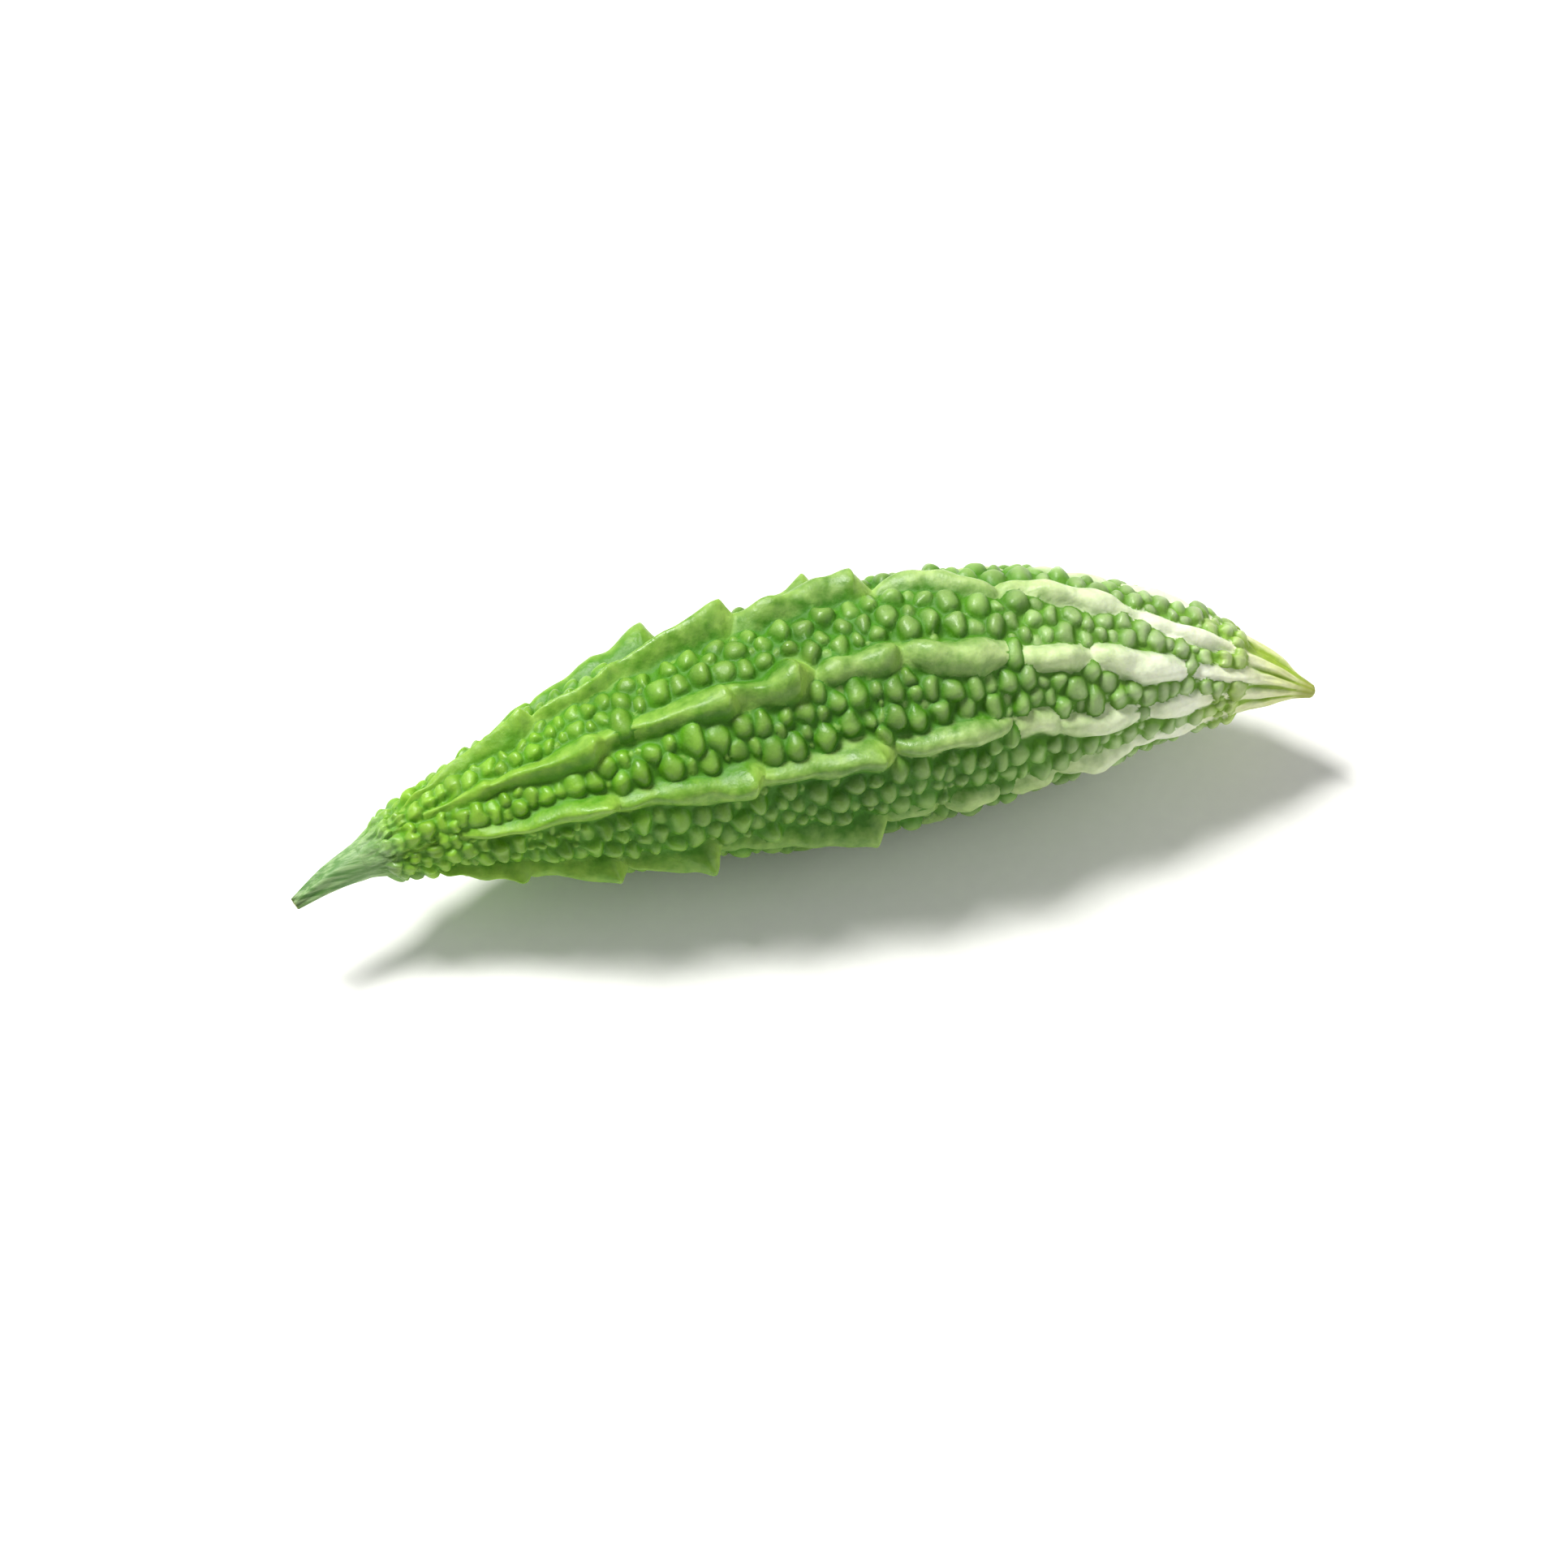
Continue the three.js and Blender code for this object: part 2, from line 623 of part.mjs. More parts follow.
function solidOf(geometry) {
  const bare = new THREE.BufferGeometry().setAttribute('position', geometry.getAttribute('position'));
  bare.setIndex(geometry.getIndex());
  const merged = mergeVertices(bare, MERGE_DISTANCE);
  return new wasm.Manifold(new wasm.Mesh({
    numProp: 3,
    vertProperties: new Float32Array(merged.getAttribute('position').array),
    triVerts: new Uint32Array(merged.getIndex().array),
  }));
}

function geometryOf(solid) {
  const { vertProperties, triVerts } = solid.getMesh();
  const geometry = new THREE.BufferGeometry();
  geometry.setAttribute('position', new THREE.BufferAttribute(vertProperties, 3));
  geometry.setIndex(new THREE.BufferAttribute(triVerts, 1));
  geometry.computeVertexNormals();
  return geometry;
}

// The lowest teeth are pressed flat where they carry the fruit.
const ground = new THREE.BoxGeometry(...GROUND_SIZE).translate(0, 0, -GROUND_SIZE[2] / 2);
const fruit = geometryOf(solidOf(makeFruit()).subtract(solidOf(ground)));
const stalk = geometryOf(solidOf(makeStalk()));

// ---------------------------------------------------------------- the gourd

const waxySkin = new THREE.MeshStandardMaterial({ color: 0x6f9f3c, roughness: 0.45, flatShading: true });
const fibrousStalk = new THREE.MeshStandardMaterial({ color: 0x7fa05e, roughness: 0.6 });

const gourd = new THREE.Group();
[
  ['fruit', fruit, waxySkin],
  ['stem', stalk, fibrousStalk],
].forEach(([name, geometry, material]) => {
  const mesh = new THREE.Mesh(geometry, material);
  mesh.name = name;
  gourd.add(mesh);
});

export default gourd;
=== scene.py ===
# Bitter gourd: the look of one whole fruit, with the cut stub of its stalk, lying on a pale floor.
#
# The fruit is a spindle whose skin is raised by one relief: broken ridges of lumps that end in teeth,
# and warts in three sizes that fill the furrows between them. The spindle and the lumps of the ridges
# are those of the CAD model. Its warts are fewer and larger than life, so here they are thrown anew in
# their real sizes, over the same furrows. The ridges also get their lobes, and the skin its ripples.
# Shapes are worked out in millimetres. A "station" is the distance along X from the joint of stalk and
# fruit. A "bearing" is the angle round the fruit in degrees: 0 in front (-Y), 90 on top.

from math import cos, pi, radians, sin, sqrt

import bpy
import numpy as np
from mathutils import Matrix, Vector


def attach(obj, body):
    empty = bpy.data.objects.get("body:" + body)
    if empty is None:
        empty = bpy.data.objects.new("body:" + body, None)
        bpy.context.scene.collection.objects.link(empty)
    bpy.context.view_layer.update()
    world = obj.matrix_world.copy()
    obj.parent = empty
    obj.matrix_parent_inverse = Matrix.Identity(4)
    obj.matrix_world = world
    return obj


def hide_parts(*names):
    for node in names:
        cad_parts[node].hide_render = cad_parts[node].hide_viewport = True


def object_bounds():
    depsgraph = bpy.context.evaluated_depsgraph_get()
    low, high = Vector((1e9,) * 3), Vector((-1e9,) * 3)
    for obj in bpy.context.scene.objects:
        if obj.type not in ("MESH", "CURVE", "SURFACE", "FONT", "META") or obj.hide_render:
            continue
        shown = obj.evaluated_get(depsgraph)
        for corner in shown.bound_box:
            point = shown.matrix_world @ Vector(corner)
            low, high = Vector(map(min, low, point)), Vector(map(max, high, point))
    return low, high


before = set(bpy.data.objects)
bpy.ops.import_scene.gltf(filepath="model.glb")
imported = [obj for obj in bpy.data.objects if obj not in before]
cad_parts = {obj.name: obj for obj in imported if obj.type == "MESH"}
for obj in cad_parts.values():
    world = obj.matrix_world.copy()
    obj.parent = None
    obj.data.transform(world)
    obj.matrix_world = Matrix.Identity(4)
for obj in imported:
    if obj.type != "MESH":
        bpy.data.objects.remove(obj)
cad_low, cad_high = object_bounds()

MM = 0.001

# ---------------------------------------------------------------- the gourd's own dimensions

FRUIT_LENGTH = 171
NUB_ROUNDING = 0.8
NUB_RINGS = np.radians([22, 45, 67])  # up the small dome that closes the nub
STALK_LENGTH = 12
AXIS_BACK = 0.2  # where the spindle's line lies at the belly: behind the middle, and over the floor
AXIS_HEIGHT = 23
BOW_TILT = radians(25)  # the ends bend to the front, and down by this angle
TOOTH_HOOK = 0.028  # what stands high leans to the blossom, by this times the square of its height

# Station, bow of the centre line, radius.
SPINDLE = [
    (-12, -14.2, 0.9),
    (-5, -11.0, 2.3),
    (4, -8.1, 4.1),
    (15, -6.0, 6.9),
    (29, -4.4, 11.2),
    (46, -2.6, 15.4),
    (66, -1.0, 18.0),
    (88, -0.1, 19.6),
    (110, 0.0, 19.0),
    (128, -1.2, 16.2),
    (142, -3.2, 12.8),
    (154, -6.0, 8.6),
    (163, -9.2, 4.8),
    (168, -11.6, 2.5),
    (171, -13.2, 1.3),
]
BOW, RADIUS = 1, 2

# Ridges: bearings near the stalk, at the belly and near the blossom, and their lumps as start, tooth
# and height. A portion in place of the lumps has them made by rule.
BELLY_STATION = 90
BLOSSOM_STATION = 165
RIDGES = [
    ((112, 123, 80), [
        (8, 33, 6.6), (29, 70, 9.2), (61, 93, 8.8), (96, 117, 4.6), (115.5, 140, 4.2),
        (139.5, 158, 2.6),
    ]),
    ((77, 74, 47), [
        (10, 24, 3.8), (20, 42, 7.4), (38, 66, 6.6), (59, 78.5, 8.2), (80.5, 96.5, 5.8),
        (96.5, 117, 5.2), (117, 131, 4.2), (129.5, 149, 3.8), (149, 162, 2.2),
    ]),
    ((37, 32, 20), [
        (15, 41.5, 7.6), (37, 67, 7.6), (62, 89.5, 7.8), (92, 115, 5.6), (115, 124.5, 3.4),
        (122.5, 140, 4.2), (140, 154, 2.8),
    ]),
    ((-16, -16, -12), [
        (10, 25, 6.5), (24, 41, 7.6), (41, 56.5, 8.6), (56, 87.5, 7.4), (89, 100, 3.6),
        (101, 113, 4.8), (114, 124, 3.6), (124, 140, 3.8), (137, 154, 2.4),
    ]),
    ((-45, -46, -48), 0.75),
    ((-76, -74, -80), [
        (14, 30, 3.5), (26, 50, 4.2), (45, 73, 6.9), (74, 108, 5.1), (110, 128, 3.6),
        (130, 150, 2.6),
    ]),
    ((-108, -108, -116), [
        (10, 26, 3.2), (22, 46, 4.4), (41, 66, 7.2), (63, 91, 5.2), (94, 118, 5.6),
        (120, 140, 3.2),
    ]),
    ((-142, -142, -152), 0.85),
    ((-176, -176, -188), 1),
    ((152, 156, 126), [
        (14, 36, 4), (32, 58, 8.3), (54, 76, 4.4), (72, 87, 7), (88, 104, 3.6), (106, 122, 2.6),
        (119, 138, 3), (136, 152, 2.4),
    ]),
]
WAVER = [(37, 1.7), (17, 1.2)]  # waves in which a ridge strays: length, and swing in degrees

# Every lump's own offset and breadth, and the rule for the lumps of the ridges that have a portion.
LUMP_SEED = 20611
LUMP_OFFSET = (-0.9, 0.9)  # millimetres to the side of the ridge's own line
LUMP_BREADTH = (0.82, 1.15)  # as a share of the usual
LUMP_LENGTHS = (24, 13)  # at the joint, and at the nub
LUMP_HEIGHTS = [(5, 2.4), (45, 6.4), (80, 7.2), (120, 4.4), (160, 1.8)]  # by the tooth's station
HEIGHT = 1
LUMP_STARTS = (-5, 1)  # from a tooth to the start of the next lump
FIRST_LUMP, FIRST_SPREAD = 12, 3  # where the first one starts, give or take
LAST_LUMP = 158  # station beyond which no tooth stands
LENGTH_SPREAD = (0.8, 1.2)
HEIGHT_SPREAD = (0.85, 1.1)

# Along a lump: a blade rises over a share of its length to a share of its height, climbs on to its
# tooth, and falls within a millimetre and a share of its height. Towards the blossom it is a bean.
BLADE_RISE = 0.22
BLADE_START = 0.44
BLADE_CLIMB = 2.5
BEAN_SQUARENESS = 2.6
BLADES_END = 82  # stations of the tooth up to which a lump is all blade, and from which it is all bean
BEANS_BEGIN = 118
TOOTH_LEAD = 0.7  # millimetres before the tooth at which the fall begins
TOOTH_DROP = 1
TOOTH_DROP_SHARE = 0.44
TOOTH_FALL = 1.2

# Across a lump: half the width of its foot, and the powers of its rounded section. A low rib joins the
# lumps of a ridge.
BLADE_FOOT = (0.7, 0.215)  # millimetres, and share of the spindle's radius
BEAN_FOOT = (1.6, 0.1)
FOOT_TAPER = 0.4  # share of that width which is left where a lump is lowest
BLADE = (1.7, 1.2)
BEAN = (2.2, 0.7)
RIB_HEIGHT = 0.9
RIB_FOOT_SHARE = 0.22
RIB_CREST = 0.9  # how much of a crest the low rib is

# Lobes lower and narrow a lump in places, and the line of a ridge sways.
LOBE_SEED = 5077
SWAY_SEED = 6133
LOBE_SHARES = (0.95, 1)  # how uneven blades and beans are
LOBE_PERIOD, LOBE_BITE = 8, 0.26  # millimetres, and the most it takes off a lump's size
SWAY_PERIOD, SWAY = 8, 0.38  # both in millimetres

# How warts are thrown. Their lengths and breadths are half measures, along and around the fruit.
WART_SEED = 48817
WART_SIZES = [((1.4, 2.3), 16000), ((0.9, 1.3), 9000), ((0.55, 0.85), 6000)]  # lengths, and tries
WART_STATIONS = (5, 158)
WART_WIDENING = (1.03, 1.44)  # breadth over length
WART_FULL_GIRTH = 16  # radius of the spindle at which they have the length that was thrown
WART_SHRINK = (0.76, 1.08)  # least and most share of it where the spindle is thinner or thicker
WART_OVERLAP = 0.74  # least distance between two, as a share of touching
WART_CLEARANCE = 2.2  # most sum of the ridges' heights over middle and flanks, as a share of its own

# How the large ones settle in the furrows, and how all of them swell into the room that is left.
SETTLE_PASSES = 40
SETTLE_RATE = 0.5  # share of the missing distance that a pass makes good
SETTLE_SPACING = 0.88  # distance up to which two push each other, as a share of touching
SLIDE = 0.06  # step away from the higher flank, as a share of how much higher it is
FLANK = 0.6  # where the flanks are, as a share of the breadth
NEAREST = 3  # neighbours by which the room round a wart is told
SNUG = 0.82  # distance beyond which it swells, as a share of touching
MOST_SWELL = 1.24

# How warts stand up.
TINT_SEED = 9151
WARP_SEED = 3301
WART_LEAST = 0.4  # height: millimetres, and share of the length
WART_TALLNESS = 1.2
WART_UNEVENNESS = (0.82, 1.12)  # own height, as a share of that
WART_ROUND = (2.2, 0.58)  # powers of the rounded section
WARP_PERIOD, WARP = 5, 0.45  # how their outlines are warped: both in millimetres

# The skin as a whole.
SWELL_SEED = 7411
SWELL_PERIOD, SWELL = 4.2, 0.18  # the skin itself is never quite even: both in millimetres
RIPPLE_WAVES = 9
RIPPLE_GIRTH = 20  # radius at which the waves round the fruit have their full length
SMOOTH_NECK = 6  # station at which the relief has grown to its full height
SMOOTH_NUB = (165, 169)  # stations between which it dies away
FACES_END = (96, 112)  # stations between which the light painted on the faces of the teeth fades out
FACE_SLOPE = (0.6, 1.2)  # how steep a fall is where it begins to be a face, and where it is one
FILL = 0.8  # share of the mean height around to which the gaps between warts are filled
HOLLOW_REACH = 5  # steps of the grid on each side over which a hollow is told from its surroundings
MIDDLE_TINT = 0.5  # of the skin between the warts

# Grid of the skin before it is thinned, and the triangles left after.
STATIONS = 640
BEARINGS = 520
SKIN_TRIANGLES = 190_000

# Stalk: its shallow ribs, how far it reaches into the fruit, and the hollow of its cut face.
STALK_RIBS = 5
STALK_RIB_HEIGHT = 0.25
RIBS_FADE = (-6, 0)  # stations between which the ribs die away
STALK_ROOT = 2.5
STALK_SLEEVE = 0.05  # how far its skin stands over the spindle
STALK_TUCK = 0.5  # how far the end of its root is drawn in
STALK_SIDES = 60
STALK_RINGS = 50
CUT_SINK = 0.35
CUT_RIMS = np.array([0.85, 0.55, 0.3])  # rings of the cut face, as shares of its radius

# Camera: where it aims in millimetres from the spindle's line at the belly, how it looks there, and how
# wide the picture is at that distance.
AIM = (-3.4, -6.0, -9.9)
CAMERA_TURN = radians(14)
CAMERA_DROP = radians(55)
CAMERA_DISTANCE = 800
VIEW_WIDTH = 276
SENSOR_WIDTH = 36


# ---------------------------------------------------------------- small helpers

# Park-Miller dice, so that the lumps come out as they do in the CAD model.
DICE_FACTOR = 48271
DICE_RANGE = 2147483647


def lerp(start, end, t):
    return start + (end - start) * t


def smooth(value, low, high):
    t = np.clip((np.asarray(value, float) - low) / (high - low), 0, 1)
    return t * t * (3 - 2 * t)


def dice_from(seed):
    state = seed

    def roll(low, high):
        nonlocal state
        state = state * DICE_FACTOR % DICE_RANGE
        return lerp(low, high, state / DICE_RANGE)

    return roll


def along(rows, column, station):
    """Value and slope, at each station, of the smooth curve through one column of a table."""
    table = np.array(rows, float)
    x, y = table[:, 0], table[:, column]
    slopes = np.empty(len(x))
    slopes[1:-1] = (y[2:] - y[:-2]) / (x[2:] - x[:-2])
    slopes[0] = (y[1] - y[0]) / (x[1] - x[0])
    slopes[-1] = (y[-1] - y[-2]) / (x[-1] - x[-2])
    i = np.clip(np.searchsorted(x, station, side="right") - 1, 0, len(x) - 2)
    span = x[i + 1] - x[i]
    t = (station - x[i]) / span
    leave, arrive = slopes[i] * span, slopes[i + 1] * span
    bend = 2 * y[i] - 2 * y[i + 1] + leave + arrive
    sweep = 3 * y[i + 1] - 3 * y[i] - 2 * leave - arrive
    return y[i] + t * (leave + t * (sweep + t * bend)), (leave + t * (2 * sweep + t * 3 * bend)) / span


def radius_at(station):
    return along(SPINDLE, RADIUS, station)[0]


def arc_between(start, end, radius):
    """Signed arc on the bare spindle between two bearings."""
    return np.radians((end - start + 180) % 360 - 180) * radius


def outline(q, powers):
    """Half a rounded section: 1 in the middle, 0 at the foot."""
    shoulder, crown = powers
    return (1 - np.minimum(np.abs(q), 1) ** shoulder) ** crown


def ripples(seed, period, stations, bearings):
    """Smooth unevenness over the skin, mostly between -1 and 1, with waves of this many millimetres."""
    roll = dice_from(seed)
    field = 0
    for _ in range(RIPPLE_WAVES):
        heading, phase = roll(0, pi), roll(0, 2 * pi)
        forward = 2 * pi / period * cos(heading) * stations[:, None]
        turns = round(2 * pi / period * sin(heading) * RIPPLE_GIRTH)
        field = field + np.sin(forward + turns * np.radians(bearings)[None, :] + phase)
    return field / sqrt(2 * RIPPLE_WAVES)


LONG_AXIS = np.array([1.0, 0, 0])
BOW_AXIS = np.array([0, cos(BOW_TILT), sin(BOW_TILT)])
FLAT_AXIS = np.cross(LONG_AXIS, BOW_AXIS)
JOINT_X = cad_high.x / MM - FRUIT_LENGTH - NUB_ROUNDING


def place(station, bearing, height):
    """Points in metres for stations, bearings and heights over the spindle."""
    station, bearing, height = np.broadcast_arrays(station, bearing, height)
    bow, slope = (part[..., None] for part in along(SPINDLE, BOW, station))
    stretch = np.sqrt(1 + slope**2)
    tangent = (LONG_AXIS + slope * BOW_AXIS) / stretch
    outward = (BOW_AXIS - slope * LONG_AXIS) / stretch
    turn = (np.radians(bearing) + BOW_TILT)[..., None]
    radius = (radius_at(station) + height)[..., None]
    centre = (station + JOINT_X)[..., None] * LONG_AXIS + bow * BOW_AXIS + (0, AXIS_BACK, AXIS_HEIGHT)
    lean = TOOTH_HOOK * height[..., None] ** 2 * tangent
    return (centre - radius * np.cos(turn) * outward + radius * np.sin(turn) * FLAT_AXIS + lean) * MM


# ---------------------------------------------------------------- relief of the ridges


def lumps_by_rule(portion, roll):
    lumps = []
    start = FIRST_LUMP + roll(-FIRST_SPREAD, FIRST_SPREAD)
    while True:
        tooth = start + lerp(*LUMP_LENGTHS, start / FRUIT_LENGTH) * roll(*LENGTH_SPREAD)
        if tooth > LAST_LUMP:
            return lumps
        usual = along(LUMP_HEIGHTS, HEIGHT, tooth)[0]
        lumps.append((start, tooth, portion * usual * roll(*HEIGHT_SPREAD)))
        start = tooth + roll(*LUMP_STARTS)


def all_ridges():
    """Each ridge's bearings, and its lumps as start, tooth, height, offset and breadth."""
    roll = dice_from(LUMP_SEED)
    finished = []
    for bearings, given in RIDGES:
        lumps = given if isinstance(given, list) else lumps_by_rule(given, roll)
        own = [(*lump, roll(*LUMP_OFFSET), roll(*LUMP_BREADTH)) for lump in lumps]
        finished.append((bearings, own))
    return finished


ridges = all_ridges()


def bearing_of(bearings, station):
    """Where a ridge runs: it turns slowly round the fruit, and strays a little in waves."""
    stalk, belly, blossom = bearings
    near = lerp(stalk, belly, smooth(station, 0, BELLY_STATION))
    far = lerp(belly, blossom, smooth(station, BELLY_STATION, BLOSSOM_STATION))
    straying = sum(
        swing * np.sin(2 * pi * station / period + i * belly)
        for i, (period, swing) in enumerate(WAVER, 1)
    )
    return np.where(station < BELLY_STATION, near, far) + straying


def fullness_of(start, tooth, height, blunt, station):
    """Share of its height that a lump has: a blade climbs to its tooth, a bean is full all along."""
    x = (station - start) / (tooth - start)
    within = np.clip(x, 0, 1)
    rise = smooth(x, 0, BLADE_RISE) * lerp(BLADE_START, 1, within**BLADE_CLIMB)
    drop = TOOTH_DROP + TOOTH_DROP_SHARE * height
    fallen = np.clip((station - tooth + TOOTH_LEAD) / (drop + TOOTH_LEAD), 0, 1)
    blade = rise * (1 - fallen**TOOTH_FALL)
    bean = np.sqrt(1 - np.abs(2 * within - 1) ** BEAN_SQUARENESS)
    return lerp(blade, bean, blunt)


def ridge_relief(station, bearing, bite=0, sway=0):
    """Height of the ridges, and how much of a crest each point is."""
    radius = radius_at(station)
    height = np.zeros(np.broadcast(station, bearing).shape)
    crest = np.zeros_like(height)
    for bearings, lumps in ridges:
        arc = arc_between(bearing_of(bearings, station), bearing, radius)
        rib = outline(arc / (RIB_FOOT_SHARE * radius), BEAN)
        height = np.maximum(height, RIB_HEIGHT * rib)
        crest = np.maximum(crest, RIB_CREST * rib)
        arc = arc + sway
        for start, tooth, top, offset, breadth in lumps:
            blunt = smooth(tooth, BLADES_END, BEANS_BEGIN)
            fullness = fullness_of(start, tooth, top, blunt, station)
            least, share = (lerp(blade, bean, blunt) for blade, bean in zip(BLADE_FOOT, BEAN_FOOT))
            foot = (least + share * radius) * lerp(FOOT_TAPER, 1, fullness) * breadth * (1 - bite)
            aside = arc - offset * radius / radius_at(BELLY_STATION)
            powers = [lerp(blade, bean, blunt) for blade, bean in zip(BLADE, BEAN)]
            section = outline(aside / foot, powers)
            height = np.maximum(height, top * fullness * section * (1 - bite))
            crest = np.maximum(crest, section * fullness)
    return height, crest


# ---------------------------------------------------------------- relief of the warts
# A wart is its station, bearing, length and breadth. Many of them are the rows of one array.


def spread(warts, others):
    """From the others to the warts: the way along, the way around, and both as a share of touching."""
    station, bearing, length, breadth = (column[:, None] for column in warts.T)
    other_station, other_bearing, other_length, other_breadth = others.T
    ahead = station - other_station
    aside = arc_between(other_bearing, bearing, radius_at(station))
    share = np.hypot(ahead / (length + other_length), aside / (breadth + other_breadth))
    return ahead, aside, share


def tallness(warts):
    return WART_LEAST + WART_TALLNESS * warts[:, 2]


def ridges_beside(warts):
    """Height of the ridges over the middle of each wart, and over its left and right flanks."""
    station, bearing, _, breadth = warts.T
    reach = FLANK * np.degrees(breadth / radius_at(station))
    return [ridge_relief(station, bearing + side * reach)[0] for side in (0, -1, 1)]


def off_ridges(warts):
    """Those that stand neither on a ridge nor in a notch between two lumps of one."""
    station, bearing, length, _ = warts.T
    tall = tallness(warts)
    notch = np.minimum(*(ridge_relief(station + way * length, bearing)[0] for way in (-1, 1)))
    return warts[(sum(ridges_beside(warts)) < WART_CLEARANCE * tall) & (notch < tall)]


def settle(warts):
    """Lets crowded warts push each other apart, and slide off the feet of the ridges."""
    warts = warts.copy()
    for _ in range(SETTLE_PASSES):
        ahead, aside, share = spread(warts, warts)
        np.fill_diagonal(share, np.inf)
        push = SETTLE_RATE / 2 * np.maximum(SETTLE_SPACING / share - 1, 0)
        station, bearing = warts[:, 0], warts[:, 1]
        turn = np.degrees(1 / radius_at(station))
        _, left, right = ridges_beside(warts)
        step_ahead = (ahead * push).sum(1)
        step_aside = (aside * push).sum(1) + SLIDE * (left - right)
        warts[:, 0] = np.clip(station + step_ahead, *WART_STATIONS)
        warts[:, 1] = bearing + step_aside * turn
    return off_ridges(warts)


def throw_warts(warts, lengths, tries, roll):
    """Adds warts of one size at random, each clear of the ridges and of the rest."""
    throws = np.array([
        (roll(*WART_STATIONS), roll(0, 360), roll(*lengths), roll(*WART_WIDENING), roll(0, 1))
        for _ in range(tries)
    ])
    station, bearing, size, widening, chance = throws.T
    girth = radius_at(station)
    length = size * np.clip(girth / WART_FULL_GIRTH, *WART_SHRINK)
    even = chance < girth / radius_at(BELLY_STATION)
    for wart in off_ridges(np.column_stack([station, bearing, length, length * widening])[even]):
        if not len(warts) or np.all(spread(wart[None], warts)[2] >= WART_OVERLAP):
            warts = np.vstack([warts, wart])
    return warts


def scatter_warts():
    """All the warts: large ones that settle, then what fits between them, swelled into their room."""
    roll = dice_from(WART_SEED)
    warts = np.empty((0, 4))
    for number, (lengths, tries) in enumerate(WART_SIZES):
        warts = throw_warts(warts, lengths, tries, roll)
        if number == 0:
            warts = settle(warts)
    share = spread(warts, warts)[2]
    np.fill_diagonal(share, np.inf)
    room = np.sort(share)[:, :NEAREST].mean(1)
    warts[:, 2:] *= np.clip(room / SNUG, 1, MOST_SWELL)[:, None]
    return warts


def raise_warts(stations, bearings, height, knob, tint):
    """Raises each wart out of the grid, and notes where it shows, how high on it and its own tint."""
    roll = dice_from(TINT_SEED)
    warts = scatter_warts()
    warp_along = WARP * ripples(WARP_SEED, WARP_PERIOD, stations, bearings)
    warp_around = WARP * ripples(WARP_SEED + 1, WARP_PERIOD, stations, bearings)
    for (station, bearing, length, breadth), usual in zip(warts, tallness(warts)):
        own_tint = roll(0, 1)
        top = usual * roll(*WART_UNEVENNESS)
        rows = np.flatnonzero(np.abs(stations - station) < length + 2 * WARP)
        arc = arc_between(bearing, bearings, radius_at(station))
        columns = np.flatnonzero(np.abs(arc) < breadth + 2 * WARP)
        window = np.ix_(rows, columns)
        across = (arc[columns][None, :] + warp_around[window]) / breadth
        up = (stations[rows][:, None] - station + warp_along[window]) / length
        away = np.hypot(up, across)
        dome = outline(away, WART_ROUND)
        higher = dome * top > height[window]
        height[window] = np.where(higher, dome * top, height[window])
        # The knob tells how near a wart's top each point is, for the sheen painted there.
        knob[window] = np.where(higher, 1 - away**2, knob[window])
        tint[window] = np.where(higher, own_tint, tint[window])


# ---------------------------------------------------------------- making meshes


def mesh_object(name, points, faces, shades=None):
    """A smooth mesh from points in metres and faces, with a point attribute for each named shade."""
    mesh = bpy.data.meshes.new(name)
    mesh.from_pydata(points.tolist(), [], faces)
    for shade, values in (shades or {}).items():
        attribute = mesh.attributes.new(shade, "FLOAT", "POINT")
        attribute.data.foreach_set("value", values.astype(np.float32))
    mesh.shade_smooth()
    piece = bpy.data.objects.new(name, mesh)
    bpy.context.scene.collection.objects.link(piece)
    return piece


def tube_faces(rings, sides, first_pole, last_pole):
    """Faces of a closed tube of rings, with a fan of triangles round the pole at each end."""
    faces = []
    for side in range(sides):
        beside = (side + 1) % sides
        for ring in range(rings - 1):
            near, far = ring * sides, (ring + 1) * sides
            faces.append((near + side, far + side, far + beside, near + beside))
        last = (rings - 1) * sides
        faces.append((first_pole, side, beside))
        faces.append((last_pole, last + beside, last + side))
    return faces


def thin_out(piece, triangles):
    """Merges the smallest faces of a piece until no more than these triangles are left."""
    mesh = piece.data
    thinning = piece.modifiers.new("thinning", "DECIMATE")
    thinning.ratio = triangles / sum(len(face.vertices) - 2 for face in mesh.polygons)
    graph = bpy.context.evaluated_depsgraph_get()
    seen = piece.evaluated_get(graph)
    piece.data = bpy.data.meshes.new_from_object(seen, preserve_all_data_layers=True, depsgraph=graph)
    piece.modifiers.clear()
    bpy.data.meshes.remove(mesh)
    piece.data.shade_smooth()


def keep_in_box(piece):
    """Presses what stands a hair outside the CAD model's box back onto it."""
    for vertex in piece.data.vertices:
        vertex.co = np.clip(vertex.co, cad_low, cad_high)


def surroundings(field):
    """Mean of a field round each point of the grid."""
    for axis in (0, 1):
        shifts = range(-HOLLOW_REACH, HOLLOW_REACH + 1)
        field = sum(np.roll(field, shift, axis) for shift in shifts) / len(shifts)
    return field


